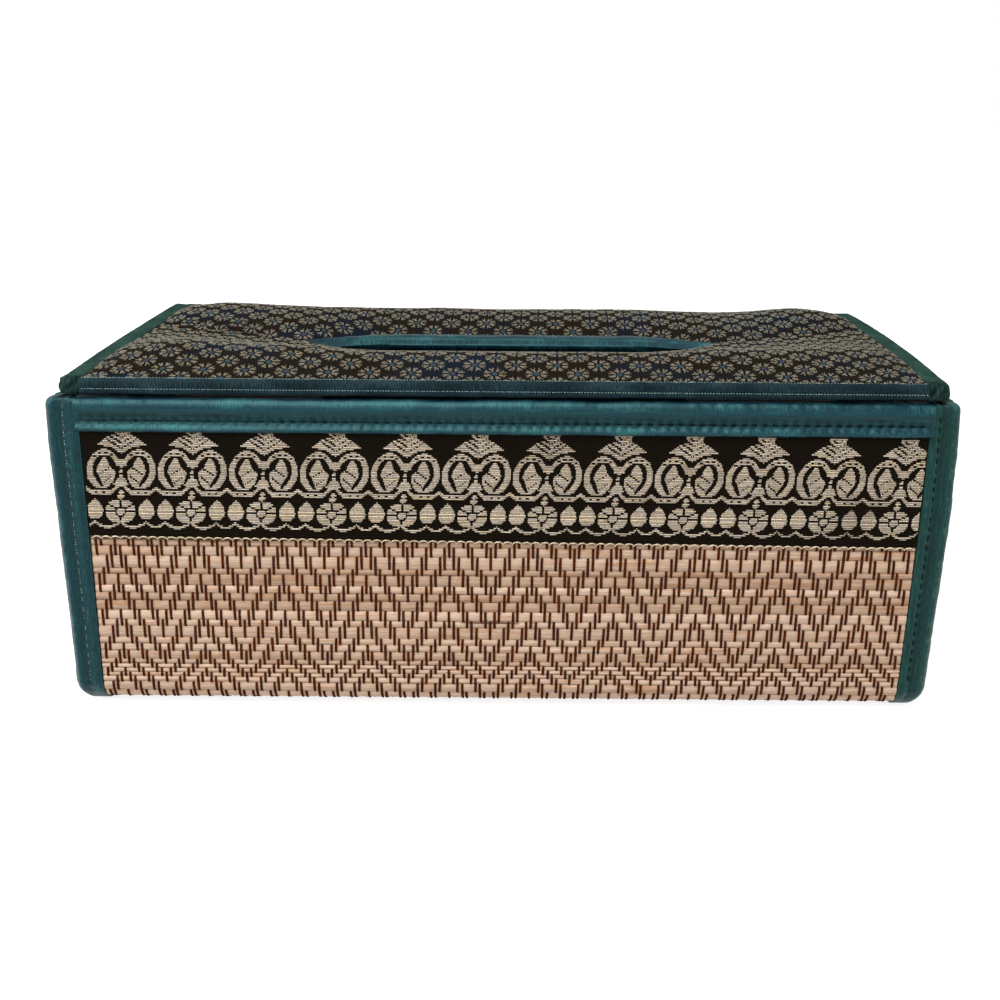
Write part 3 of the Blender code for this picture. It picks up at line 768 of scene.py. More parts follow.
def edge_surface(side):
    """The ribbon round a corner of the case: u goes round it and v up it, as the height on the front."""
    rim = arc((WALL - FOLD, RIM_HEIGHT - FOLD), FOLD, 0, 90) + arc((FOLD, RIM_HEIGHT - FOLD), FOLD, 90, 180)
    front = [(-HALF_DEPTH, RIM_BASE, 1, 0, WALL)]
    front += [(-HALF_DEPTH, z, 1, 0, inset) for inset, z in rim]
    outside = len(front)
    for angle in np.radians(np.linspace(180, 270, 19)):
        inward = (-math.cos(angle), -math.sin(angle))
        y = -(HALF_DEPTH - BOTTOM_RADIUS) - BOTTOM_RADIUS * inward[0]
        front.append((y, BOTTOM_RADIUS - BOTTOM_RADIUS * inward[1], *inward, 0))
    back = [(-y, z, -inward_y, inward_z, inset) for y, z, inward_y, inward_z, inset in reversed(front)]
    stops = (front + back)[::-1]
    places = [(y + inward_y * inset, z + inward_z * inset) for y, z, inward_y, inward_z, inset in stops]
    trace = Trace(stops, places=places)
    trace.slide(RIM_HEIGHT - FOLD - trace.lengths[-outside])
    puff = LEFT_PUFF if side < 0 else RIGHT_PUFF

    def at(u, v):
        y, z, inward_y, inward_z, inset = trace(v)
        radius = np.maximum(FOLD - inset, 0.3 * MM)
        reach = -side * u / EDGE_WIDTH * (EDGE_WIDTH - inset)
        turn = np.radians(45) * (1 + np.clip(reach / radius, -1, 1))
        past = np.maximum(np.abs(reach) - radius, 0)
        depth_x = inset + radius * (1 - np.cos(turn)) + np.where(reach > 0, past, 0)
        depth_in = inset + radius * (1 - np.sin(turn)) + np.where(reach < 0, past, 0)
        share = np.clip(1 - np.abs(reach) / EDGE_WIDTH, 0.03, 1)
        outward = MM * through(z / MM, puff) - foot_rounding(z)
        out_x = HALF_LENGTH - depth_x + outward * share**0.7
        return lean(stack(side * out_x, y + inward_y * depth_in, z + inward_z * depth_in))

    return Surface(at), trace


def lid_edge_trace(top, top_lap, under_lap):
    """Round the lid's thickness from below, as (depth in from the edge, height)."""
    stops = [(under_lap, LID_BASE)]
    stops += arc((LID_FOLD, LID_BASE + LID_FOLD), LID_FOLD, 270, 180)
    stops += arc((LID_FOLD, top - LID_FOLD), LID_FOLD, 180, 90)
    stops += [(top_lap, top)]
    return Trace(stops)


def plan_surface(plan, section):
    """A ribbon whose section stands on a line in plan, of (x, y, inward x, inward y, reach) stops."""

    def at(u, v):
        x, y, inward_x, inward_y, reach = plan(u)
        depth, z = section(v)
        depth = np.minimum(depth, reach + 0.03 * (depth - reach))
        return slump(stack(x + inward_x * depth, y + inward_y * depth, z))

    return Surface(at)


def lid_side_plan(side):
    """Along an end of the lid and round both its corners, to the right as seen from outside."""
    reach = 1.0
    tight = LID_CORNER_RADIUS - 0.15 * MM
    centre = (LID_HALF - LID_CORNER_RADIUS, -HALF_DEPTH + LID_CORNER_RADIUS)
    back = LID_BACK - 0.9 * MM
    stops = [(LID_HALF - 4.6 * MM, back, 0, -1, LID_FOLD)]
    for x, y in arc((LID_HALF - LID_FOLD, back - LID_FOLD), LID_FOLD, 90, 0, 8):
        inward = ((LID_HALF - LID_FOLD - x) / LID_FOLD, (back - LID_FOLD - y) / LID_FOLD)
        stops.append((x, y, *inward, 0.8 * LID_FOLD))
    stops.append((LID_HALF, back - LID_FOLD, -1, 0, reach))
    stops.append((LID_HALF, centre[1] + LID_CORNER_RADIUS, -1, 0, reach))
    for x, y in arc(centre, LID_CORNER_RADIUS, 0, -90, 16):
        inward = ((centre[0] - x) / LID_CORNER_RADIUS, (centre[1] - y) / LID_CORNER_RADIUS)
        stops.append((x, y, *inward, tight))
    stops.append((LID_HALF - LID_BINDING_WIDTH, -HALF_DEPTH, 0, 1, tight))
    if side > 0:
        return Trace(stops[::-1])
    return Trace([(-x, y, -inward_x, inward_y, reach) for x, y, inward_x, inward_y, reach in stops])


def rounded_outline(half_x, half_y, radius, count):
    """Points at even shares of the way round a rounded rectangle, anticlockwise from its right side."""
    x, y = half_x - radius, half_y - radius
    stops = [(half_x, 0)]
    for centre, start in (((x, y), 0), ((-x, y), 90), ((-x, -y), 180), ((x, -y), 270)):
        stops += arc(centre, radius, start, start + 90)
    stops.append((half_x, 0))
    trace = Trace(stops)
    return np.stack(trace(np.linspace(0, trace.high, count, endpoint=False)), axis=-1)


# The padded lid's surface

def swelling(share, shape):
    """A rise from 0 to 1 and back over a share of the way, skewed and pointed as its shape says."""
    _, skew, pointed = shape
    return np.clip(np.sin(math.pi * np.clip(share, 0, 1) ** skew), 0, 1) ** pointed


def slot_share(x):
    """The share of its width that the slot keeps at x."""
    return 1 - CLOSED_SHARE * part(np.abs(x), CLOSING_START, CLOSING_END) ** 1.5


def near_drop_share(x):
    """The share of its drop that the near lip keeps at x."""
    return np.clip((DROP_END - np.abs(x)) / DROP_FADE, 0, 1)


def lump(x, place, width, height):
    """A smooth lump that stands at a place along the lid."""
    return height * bell(x - place, width)


def lid_height(x, y):
    """Height of the padded cover: a front and a rear swelling with a valley that leaves the slot's line."""
    along = np.abs(x)
    past_slot = part(along, SLOT_HALF_LENGTH + LIP_REACH, LID_FACE_HALF)
    valley = VALLEY_BEND * part(along, CLOSING_END, LID_FACE_HALF) ** 1.3
    beside = y - valley
    front = beside < 0
    lip = (SLOT_HALF_WIDTH + np.where(front, NEAR_LIP, LIP_REACH)) * (1 - past_slot) * slot_share(x)
    rise = part(np.abs(beside), lip, COVER_HALF_DEPTH + np.where(front, valley, -valley))
    lobe = np.where(front, swelling(rise, FRONT_SWELL), swelling(rise, REAR_SWELL))
    fade = (1 - np.clip(along / LID_FACE_HALF, 0, 1) ** SIDE_FADE_SHARE) ** 0.6
    front_swell = FRONT_SWELL[0] + lump(x, *LEFT_FRONT_LUMP) + lump(along, *SLOT_END_LUMP)
    rear_swell = REAR_SWELL[0] + sum(lump(x, *sizes) for sizes in REAR_LUMPS)
    swell = np.where(front, front_swell, rear_swell)
    lumps = 0.22 * MM * noise(x, y, (17 * MM, 13 * MM), 3) + 0.1 * MM * noise(x, y, (6 * MM, 5 * MM), 4)
    crease = CREASE_SWELL * np.clip(np.sin(math.pi * past_slot), 0, 1) ** 0.6 * (1 - rise)
    folds = lid_fold(x, beside) * (1 - lobe * 0.5)
    near_slot = np.clip(1 - (np.abs(beside) - lip) / DROP_REACH, 0, 1) ** 2 * near_drop_share(x)
    drop = np.where(front, NEAR_DROP, FAR_DROP) * near_slot
    return LID_TOP + fade * (swell + lumps) * lobe + (1 - lobe) * crease + folds - drop


LID_SURFACE = Surface(lambda u, v: slump(stack(u, v, lid_height(u, v))))


# Pieces of the case

def mat_rows(low, high, seed):
    """Heights of the reeds' edges from high down to low, each about a reed's pitch from the next."""
    random = np.random.default_rng(seed)
    edges = [high]
    while edges[-1] > low:
        edges.append(edges[-1] - REED_PITCH * random.uniform(0.84, 1.16))
    edges[-1] = low
    if edges[-2] - low < REED_PITCH / 2:
        del edges[-2]
    return np.array(edges)


def column_phase(column):
    """Steps that a column's crossings lag behind those of the chevron's middle."""
    place = column % CHEVRON_COLUMNS
    return np.minimum(place, CHEVRON_COLUMNS - place)


def build_mat(name, node, surface, half, edges, seed, paint, sink=0.0):
    """Reeds along u, bound by threads that go over two of them and under two, in a chevron."""
    random = np.random.default_rng(seed)
    lowest = math.ceil((-half + BINDER_WIDTH - CHEVRON_CENTRE) / COLUMN_PITCH)
    highest = math.floor((half - BINDER_WIDTH - CHEVRON_CENTRE) / COLUMN_PITCH)
    columns = np.arange(lowest, highest + 1)
    phase = column_phase(columns)
    u_columns = CHEVRON_CENTRE + columns * COLUMN_PITCH
    middles = (u_columns[:-1] + u_columns[1:]) / 2
    u = np.sort(np.concatenate([[-half, half], u_columns, middles]))
    shares = np.array([-1, -0.8, -0.35, 0.1, 0.5, 0.85, 1])
    crown = REED_CREST * (1 - np.abs(shares) ** 2.6)
    reeds, binders = Shape(), Shape()
    for row, (top, base) in enumerate(zip(edges[:-1], edges[1:])):
        over = (row - phase) % 4 < 2
        press = np.interp(u, u_columns, np.where(over, -PINCH, PINCH))
        wander = 0.12 * MM * noise(u, row * MM, (23 * MM, 1 * MM), seed + 1)
        half_width = (top - base) / 2 - 0.05 * MM
        middle = (top + base) / 2 + wander
        v = middle[:, None] + shares * half_width
        split = 0.07 * MM * noise(u[:, None], v, (40 * MM, 0.5 * MM), seed + 2)
        lift = crown - REED_CREST + press[:, None] * (1 - shares**2) + split - sink
        back_v = np.stack([v[:, -1], v[:, 0] * 0.67 + v[:, -1] * 0.33, v[:, 0]], axis=-1)
        v = np.concatenate([v, back_v], axis=1)
        lift = np.concatenate([lift, np.full(back_v.shape, -REED_DEPTH - sink)], axis=1)
        reeds.lay_on(surface, u[None, :, None], v[None], lift, random.uniform(0, 1))
    add_binders(binders, surface, u_columns, phase, edges, random, sink)
    reeds.piece(f"{name}_reeds", paint["reed"], "reed_mat", "case", (node,))
    binders.piece(f"{name}_binding_threads", paint["binder"], "reed_mat", "case", (node,))


def add_binders(shape, surface, u_columns, phase, edges, random, sink):
    """The thread's floats, each over two reeds and dipping between reeds at both ends."""
    last = len(edges) - 1
    floats = []
    for column, u in enumerate(u_columns):
        for row in range(phase[column] % 4 - 4, last, 4):
            if row > -2:
                floats.append((u, edges[max(row, 0)], edges[min(row + 2, last)]))
    u, tops, bases = np.array(floats).T[:, :, None, None]
    shares = np.array([-1, -0.9, -0.55, 0, 0.55, 0.9, 1])[:, None]
    bow = np.array([0, 0.72, 0.97, 1, 0.97, 0.72, 0])[:, None]
    corner_u, corner_lift = np.array([(-1, 0), (-0.62, 1), (0.62, 1), (1, 0), (0.62, -1), (-0.62, -1)]).T
    wobble = random.uniform(-0.09, 0.09, (2, len(floats), 1, 1)) * MM
    u = u + (wobble[0] + wobble[1] * shares)
    u = u + BINDER_WIDTH / 2 * (0.82 + 0.18 * bow) * corner_u
    v = (tops + bases) / 2 + ((tops - bases) / 2 + 0.05 * MM) * shares
    crest = (REED_CREST - PINCH + 0.1 * MM) * bow - REED_CREST - sink
    shade = random.uniform(0, 1, (len(floats), 1, 1))
    shape.lay_on(surface, u, v, crest + BINDER_THICKNESS * corner_lift, shade)


def build_boards(paint):
    """The hidden boards lean with the case, and are pared off at its bend and under the rounded foot."""
    radius = BOTTOM_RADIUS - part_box("base_board")[0].z
    thinnest = 0.1 * MM
    for name in ("front", "base", "back", "left_end", "right_end"):
        low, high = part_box(f"{name}_board")
        z = steps(low.z, high.z, 1.5 * MM)
        bend = HALF_DEPTH - BOTTOM_RADIUS + np.sqrt(radius**2 - np.clip(BOTTOM_RADIUS - z, 0, radius) ** 2)
        inset = 1.2 * MM + foot_rounding(z)
        left = np.maximum(low.x, inset - HALF_LENGTH)
        right = np.minimum(high.x, HALF_LENGTH - inset)
        near = np.minimum(np.maximum(low.y, -bend), high.y - thinnest)
        far = np.maximum(np.minimum(high.y, bend), low.y + thinnest)
        x = np.stack([left, right, right, left], axis=1)
        y = np.stack([near, near, far, far], axis=1)
        shape = Shape()
        shape.add(lean(stack(x, y, z[:, None]))[None], stack(x + y, z[:, None], 0)[None])
        shape.piece(f"{name}_pasteboard", paint["card"], "card_board", "case", (f"{name}_board",))


def build_mats(paint):
    """The mat round front, base and back, in stretches that meet in its bends, and the mats of the ends."""
    surface, trace = trough_surface(0, RIM_HEIGHT)
    bend = math.pi / 2 * BOTTOM_RADIUS
    front_end = BOTTOM_RADIUS - bend / 2
    back_start = front_end - bend - 2 * (HALF_DEPTH - BOTTOM_RADIUS)
    front_edges = np.array([*UPPER_ROW_HEIGHTS, *LOWER_ROW_HEIGHTS, front_end / MM]) * MM
    base_edges = mat_rows(back_start, front_end, 4)
    back_edges = mat_rows(trace.low + RIM_HEIGHT - MAT_TOP, back_start, 6)
    build_mat("front", "wrap_reed_mat", surface, FACE_HALF, front_edges, 11, paint)
    build_mat("base", "wrap_reed_mat", surface, FACE_HALF, base_edges, 12, paint, BASE_MAT_SINK)
    build_mat("back", "wrap_reed_mat", surface, FACE_HALF, back_edges, 13, paint)
    for name, surface, seed in (("left_end", LEFT, 21), ("right_end", RIGHT, 22)):
        edges = mat_rows(END_MAT_BASE, BAND_BASE + 1.5 * MM, seed)
        build_mat(name, f"{name}_reed_mat", surface, END_HALF, edges, seed, paint)


def build_splinter(paint):
    """One reed on the front has split: a dark sliver lies along it."""
    shape = Shape()
    shares = np.linspace(-1, 1, 15)[None, :, None]
    u = -3.5 * MM + 8.5 * MM * shares
    width = 0.2 * MM * bowed(shares)
    v = 27.4 * MM - 0.05 * u + 0.25 * MM * np.sin(shares * 2.2) + width * np.cos(SIX_WAYS)
    shape.lay_on(FRONT, u, v, 0.08 * MM + 0.1 * MM * np.sin(SIX_WAYS), 0.2)
    shape.piece("front_reed_splinter", paint["binder"], "reed_mat", "case")


def between(p, z, outline):
    """True inside an outline given as (z, inner p, outer p) stops from its foot to its top."""
    heights, inner, outer = np.array(outline).T
    inside = (p > np.interp(z, heights, inner)) & (p < np.interp(z, heights, outer))
    return inside & (z > heights[0]) & (z < heights[-1])


def oval(p, z, middle, height, half_width, half_height):
    """True inside an oval."""
    return ((p - middle) / half_width) ** 2 + ((z - height) / half_height) ** 2 < 1


def knot(p, z, middle, height):
    """True in the small gap that one knot of ground leaves in a line of silver."""
    return (np.abs(p - middle) < 0.4) & (np.abs(z - height) < 0.25)


def brocade_silver(u, z):
    """Where silver shows on one repeat of the brocade, drawn from its top to its foot.

    u is from the repeat's middle and z up the band, both in millimetres; the band's top is at BROCADE_TOP.
    """
    p = np.abs(u)
    stroke = np.where(u < 0, 0.28, 0.15)

    # A fan with slanted slits
    foot = np.interp(p, (0, 1.45, 3.0, 6.8), (73.9, 74.9, 75.8, 76.4))
    head = np.interp(p, (2.4, 3.8, 5.1, 6.9), (79.4, 78.8, 77.8, 76.5))
    crown = (z > foot) & ((z < head) | (p < 2.4)) & (p < 6.9)
    for low, reach in ((75.5, 4.1), (77.0, 3.2), (78.5, 2.3), (79.8, 1.4)):
        crown &= ~((np.abs(z - low - 0.62 * p) < stroke) & (p < reach) & (p > 0.15))

    # Two rings, whose lower halves curl in as leaves round an egg
    ring = oval(p, z, 4.85, 69.0, 4.75, 6.2) & ~oval(p, z, 4.8, 69.0, np.where(p > 4.8, 3.2, 3.6), 4.6)
    ring &= ~((p < 4.3) & (z < 70.6)) & (z > 68.9)
    for middle, height in ((2.7, 73.5), (4.3, 74.25), (6.0, 74.05), (7.5, 73.1)):
        ring &= ~knot(p, z, middle, height)
    side = np.where(p > 5.5, 4.1, 3.95)
    bowl = oval(p, z, 5.5, 69.0, side, 5.4) & (z <= 68.9)
    gap = oval(p, z, 5.5, 69.0, side + 0.45, 5.8) & (z <= 68.9)
    egg = between(p, z, EGG_OUTLINE) | (bowl & ~between(p, z, TAIL_OUTLINE))
    lifted = z - 0.45
    upper = (np.abs(lifted - 69.2 + 0.66 * (p - 3.4)) < 0.43 - stroke) & (p > 3.0) & (p < 5.9)
    lower = (np.abs(lifted - 67.0 + 0.8 * (p - 2.5)) < 0.43 - stroke) & (p > 2.4) & (p < 4.8)
    egg &= ~(upper | lower)

    # A cup on a stem between the rings, and the roof and chain below them
    cup = (p < 1.2 + 0.3 * (z - 70.4)) & (z > 70.3) & (z < 72.2)
    stem = (p < 0.45) & (z > 66.9) & (z <= 70.3) & ((z / 0.704) % 1 < 0.6)
    pedestal = (z > 64.7) & (z <= 66.9) & (p < 0.9 + (66.9 - z) * 0.7)
    eave = 65.4 - 1.0 * np.maximum(p - 0.3, 0)
    roof = (np.abs(z - eave + 0.3) < 0.62) & (p < 4.0) & (z > 61.8)
    chain = (np.abs(z - 62.5 - np.maximum(p - 8.1, 0) * 0.8) < 0.62) & (p > 2.9)
    chain &= ~(knot(p, z, 4.9, 62.5) | knot(p, z, 6.9, 62.5))
    beside = (stem | pedestal | roof | chain) & ~gap

    # A bud over a rosette of four petals with an eye, and seeds beside it
    bud = oval(p, z, 0, 61.9, 0.95, 1.35) & ~((np.abs(z - 62.1) < 0.22) & (p > 0.2))
    height = (z - 57.1) / 3.6
    width = u / 4.5
    angle = np.arctan2(height, width)
    petals = np.hypot(height, width) < 0.8 + 0.2 * np.abs(np.sin(2 * angle)) ** 0.5
    slits = (np.abs(height + 0.02) < 0.085) | (np.abs(width) < 0.07)
    slits |= (np.abs(np.abs(width) - height * 1.35) < 0.09) & (height > 0)
    eye = (u / 1.1) ** 2 + ((z - 57.0) / 1.1) ** 2
    rosette = (petals & ~slits & (eye > 2.2)) | (eye < 1)
    share = np.clip((z - 54.6) / 6.2, 0, 1)
    seed = (np.abs(p - 7.25) < 2.3 * np.sin(math.pi * share**0.75) ** 0.8) & (share > 0) & (share < 1)

    # A line of scallops
    wide = np.clip(p / 7.25, 0, 1)
    narrow = np.clip((p - 7.25) / 5.3, 0, 1)
    swag = np.where(p < 7.25, 1.7 * np.sin(math.pi * wide) ** 0.7, 1.5 * np.sin(math.pi * narrow) ** 0.7)
    scallop = np.abs(z - 54.1 + swag) < 0.4
    return crown | ring | egg | cup | beside | bud | rosette | seed | scallop


def band_surface(surface, tilt):
    """The band's own surface, which slopes a little along the wall and stands proud of it."""

    def at(u, v):
        return surface.raised(u, v - tilt * u, BAND_PROUD)

    return Surface(at)


def build_bands(paint):
    """Brocade round the case: a black ground with the silver weft of its figures on it."""
    low = BAND_BASE - 0.1 * MM
    high = BAND_TOP + 1.0 * MM

    def lift(u, v):
        edge = -0.35 * MM * bell(v - low, 0.4 * MM)
        ribs = 0.05 * MM * np.sin(TURN * v / WEFT_PITCH)
        return ribs + edge + 0.12 * MM * noise(u, v, (22 * MM, 12 * MM), 31)

    for name, board, wall, half, tilt, centre in (
        ("front", "front_board", FRONT, FACE_HALF, BROCADE_TILT_SHARE, BROCADE_CENTRE),
        ("back", "back_board", BACK, FACE_HALF, 0.0, 0.0),
        ("left", "left_end_board", LEFT, END_HALF, 0.0, 0.0),
        ("right", "right_end_board", RIGHT, END_HALF, 0.0, 0.0),
    ):
        surface = band_surface(wall, tilt)
        u = steps(-half, half, 2 * MM)
        ground = cloth(surface, u, steps(low, high, WEFT_PITCH / 4), lift, 0.5 * MM)
        nodes = (f"{name}_brocade_band",)
        piece = ground.piece(f"{name}_band_ground", paint["brocade"], "silver_brocade", "case", nodes)
        silver = Shape()
        add_silver(silver, surface, half, low, centre)
        add_edging(silver, surface, half, low)
        silver.piece(f"{name}_band_silver", paint["silver"], "silver_brocade", "case")


def add_silver(shape, surface, half, low, centre):
    """The figures as runs of weft; the seeds have one gold line across them."""
    rows = np.arange(low + WEFT_PITCH, RIM_BASE + 0.4 * MM, WEFT_PITCH)
    cells = np.arange(-half + 0.3 * MM, half - 0.3 * MM, WEFT_CELL)
    v, u = np.meshgrid(rows, cells + WEFT_CELL / 2, indexing="ij")
    across = u - centre + BROCADE_LEAN_SHARE * (BAND_TOP - v)
    across = (across + BROCADE_REPEAT / 2) % BROCADE_REPEAT - BROCADE_REPEAT / 2
    mask = brocade_silver(across / MM, (v - BAND_TOP) / MM + BROCADE_TOP)
    random = np.random.default_rng(32)
    row, first, start, end = weft_runs(mask, cells, 0.04, random)
    shade = random.uniform(0, 0.5, len(row)) + 0.35 * (row % 2)
    from_line = np.abs(rows[row] - BAND_TOP + (BROCADE_TOP - SEED_LINE) * MM)
    of_seed = np.abs(across[row, first]) > 4.7 * MM
    shade[of_seed & (from_line < 0.8 * MM)] = 1
    shade[of_seed & (from_line < 0.25 * MM)] = -1
    add_weft(shape, surface, start, end, rows[row], WEFT_RISE, WEFT_PITCH * 0.78, shade, 0.08 * MM)


def add_edging(shape, surface, half, low):
    """A silver thread looped along the band's lower edge."""
    u = steps(-half + 0.4 * MM, half - 0.4 * MM, EDGING_PITCH / 12)[None, :, None]
    swing = np.abs(np.sin(math.pi * u / EDGING_PITCH))
    v = low - 0.9 * MM + 0.95 * MM * swing**0.6 + 0.17 * MM * np.cos(SIX_WAYS)
    lift = -0.35 * MM + 0.45 * MM * swing + 0.17 * MM * np.sin(SIX_WAYS)
    shape.lay_on(surface, u, v, lift, 1.0)


def satin_lift(stops, seams, seed, wrinkle=0.13 * MM, along_v=False):
    """Rise of a ribbon: a line through (place across, height) stops, gathers at its seams, and soft folds.

    along_v is for a ribbon that runs along v.
    """

    def lift(u, v):
        along, across = (v, u) if along_v else (u, v)
        body = through(across, stops)
        drift = 1.3 * noise(along, across, (9 * MM, 40 * MM), seed + 1)
        gathers = GATHER * np.sin(TURN * along / WIDE_STITCH[0] + drift)
        gathers = sum(bell(across - seam, GATHER_REACH) * gathers for seam in seams)
        cover = np.clip(body / (0.5 * MM), 0.15, 1)
        folds = noise(along + 0.35 * across, across, (1.9 * MM, 8 * MM), seed)
        swells = noise(along, across, (11 * MM, 5 * MM), seed + 2)
        return body + gathers + cover * wrinkle * (folds + swells)

    return lift


def build_rims(paint):
    """Satin over the rim: a wide roll above the stitch line and a narrow hem below it, on both faces."""
    front_half = FACE_HALF + 1.2 * MM
    for name, half, seed in (("front", front_half, 41), ("left", END_HALF, 42), ("right", END_HALF, 43)):
        surface, trace = rim_surface(name)
        low, high = trace.low, trace.high
        stops = rises(low, (0, 0.9), (0.5, 1.5), (2.8, 0.2), (3.05, 0))
        stops += rises(low, (3.4, 0.3), (6.4, 1.5), (6.9, 1.5), (8.6, 0.75))
        stops += rises((low + high) / 2, (-1.2, 0.35), (1.2, 0.3))
        stops += rises(high, (-6, 0.7), (-2.5, 0.1), (-1, 0.6), (0, 0.3))
        seams = (low + 3.05 * MM, high - 2.5 * MM)

        # Painted shade: the satin is darkened in the seam's groove and on the face that leans down from the
        # roll's crest to the seam.
        def shade(u, v, low=low):
            return 0.6 * bell(v - low - 3.1 * MM, 0.5 * MM) + 0.5 * roll(v, low + 3.2 * MM, low + 6.6 * MM)

        u = steps(-half, half, 0.36 * MM)
        v = steps(low, high, 0.3 * MM)
        shape = cloth(surface, u, v, satin_lift(stops, seams, seed), 0.7 * MM, shade=shade)
        shape.piece(f"{name}_rim_satin", paint["teal"], "teal_satin", "case", (f"{name}_rim_binding",))
        thread = Shape()
        for seam in seams:
            add_stitches(thread, surface, seam, -half, half, WIDE_STITCH, 0.2 * MM, seed)
        thread.piece(f"{name}_rim_stitching", paint["deep_thread"], "teal_satin", "case")


def build_back_facing(paint):
    """Lining cloth over the top of the back wall, under the hinge."""
    surface, trace = rim_surface("back")
    low = trace.low + RIM_HEIGHT - RIM_BASE - FOLD + 1.2 * MM

    def lift(u, v):
        return 0.1 * MM * noise(u, v, (9 * MM, 4 * MM), 45)

    u = steps(-FACE_HALF, FACE_HALF, 2 * MM)
    shape = cloth(surface, u, steps(low, trace.high, 0.5 * MM), lift, 0.9 * MM)
    shape.piece("back_rim_cloth", paint["lining"], "lining_cloth", "case", ("back_rim_facing",))


def build_edges(paint):
    """Satin down each corner, under the case and up the back, with a hem on each face."""
    left = [(-EDGE_WIDTH, 0.3 * MM), (EDGE_WIDTH, 0.1 * MM)]
    left += rises(0, (-5.2, 0.6), (-4.1, 0.05), (-1.2, 0.6), (0, 0.45))
    left += rises(0, (1.3, 0.75), (3.8, 0.12), (4.5, 0.6), (6.2, 0.5))
    right = [(-EDGE_WIDTH, 0.15 * MM), (EDGE_WIDTH, 0.3 * MM)]
    right += rises(0, (-6.6, 0.6), (-5.5, 0.5), (-4.9, 0), (-2.4, 0.55), (0, 0.4))
    right += rises(0, (1.2, 0.6), (4.1, 0.05), (5.2, 0.6))
    width_steps = (steps(-EDGE_WIDTH, EDGE_WIDTH, 0.3 * MM), steps(-FOLD, FOLD, 0.15 * MM))
    u = np.unique(np.concatenate(width_steps))

    # Painted shade: the stretches beside each seam, the seam itself and the stretch towards each inner edge
    # are darkened, so only the rounded corner looks lit.
    def shade(u, v):
        place = np.abs(u)
        seam_side = 0.8 * roll(place, 1.6 * MM, 4.8 * MM) + 0.4 * bell(place - 4.2 * MM, 0.5 * MM)
        return seam_side + 0.6 * roll(place, 5.6 * MM, EDGE_WIDTH)

    for name, side, satin_name, stops, seams, thread_name, stitch, seed in (
        ("left", -1, "teal", left, (-4.1 * MM, 4.0 * MM), "fine_thread", FINE_STITCH, 51),
        ("right", 1, "green", right, (-5.0 * MM, 4.1 * MM), "deep_thread", WIDE_STITCH, 52),
    ):
        surface, trace = edge_surface(side)
        loose_lift = satin_lift(stops, seams, seed, 0.1 * MM, along_v=True)
        foot = trace.low + RIM_HEIGHT

        def lift(u, v, loose_lift=loose_lift, foot=foot):
            under = np.clip((BOTTOM_RADIUS - v) / (5 * MM), 0, 1) * np.clip((v - foot) / (5 * MM), 0, 1)
            return loose_lift(u, v) * (1 - 0.95 * under) - 0.1 * MM * under

        shape = cloth(surface, u, steps(trace.low, trace.high, 0.5 * MM), lift, 0.6 * MM, shade=shade)
        nodes = (f"{name}_edge_binding",)
        shape.piece(f"{name}_edge_satin", paint[satin_name], "teal_satin", "case", nodes)
        turned = Surface(lambda u, v, surface=surface: surface.at(v, -u))
        on_front = (-(RIM_HEIGHT - FOLD), -BOTTOM_RADIUS)
        on_back = (-(foot + 6 * MM), -(trace.low + WALL + RIM_HEIGHT - RIM_BASE))
        thread = Shape()
        for seam in seams:
            for low, high in (on_front, on_back):
                add_stitches(thread, turned, seam, low, high, stitch, 0.2 * MM, seed)
        thread.piece(f"{name}_edge_stitching", paint[thread_name], "teal_satin", "case")


def build_linings(paint):
    """Lining cloth, glued to the inside: one sheet round the strip and a panel on each end."""
    top = RIM_BASE - 0.3 * MM
    surface, trace = trough_surface(LINING_DEPTH, top)
    inside = Surface(lambda u, v: surface.at(-u, v))
    half = FACE_HALF + 2 * MM

    def lift(u, v):
        return 0.12 * MM * noise(u, v, (14 * MM, 14 * MM), 61)

    thickness = LINING_THICKNESS * 0.9
    v = steps(trace.low, trace.high, 1.2 * MM)
    shape = cloth(inside, steps(-half, half, 2.5 * MM), v, lift, thickness)
    piece = shape.piece("wrap_lining_cloth", paint["lining"], "lining_cloth", "case", ("wrap_lining",))
    low = LINING_FLOOR + 1.2 * MM
    half = HALF_DEPTH - LINING_INSET
    end_x = HALF_LENGTH - LINING_DEPTH
    for name, side in (("left", -1), ("right", 1)):
        panel = Surface(lambda u, v, side=side: lean(stack(side * end_x, side * -u, v)))
        shape = cloth(panel, steps(-half, half, 2.5 * MM), steps(low, top, 2.5 * MM), lift, thickness)
        nodes = (f"{name}_end_lining",)
        piece = shape.piece(f"{name}_lining_cloth", paint["lining"], "lining_cloth", "case", nodes)


def build_tapes(paint):
    """Hook tapes on the front rim and loop tapes under the lid, with their low pile."""
    for name, body, slot, up in (
        ("rim_left_hook_tape", "case", "hook_tape", 1),
        ("lid_left_loop_tape", "lid", "loop_tape", -1),
        ("rim_right_hook_tape", "case", "hook_tape", 1),
        ("lid_right_loop_tape", "lid", "loop_tape", -1),
    ):
        low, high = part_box(name)
        middle = (low + high) / 2
        half = (high - low) / 2
        back = low.z if up > 0 else high.z
        surface = Surface(lambda u, v, m=middle, b=back, s=up: stack(m.x + s * u, m.y + v, b))

        def lift(u, v, tall=2 * half.z):
            return tall * (0.6 + 0.35 * noise(u, v, (0.45 * MM, 0.45 * MM), 71))

        u = steps(-half.x, half.x, 0.25 * MM)
        v = steps(-half.y, half.y, 0.25 * MM)
        shape = cloth(surface, u, v, lift, 0.0)
        shape.piece(f"{name}_pile", paint["tape"], slot, body, (name,))


# Pieces of the lid

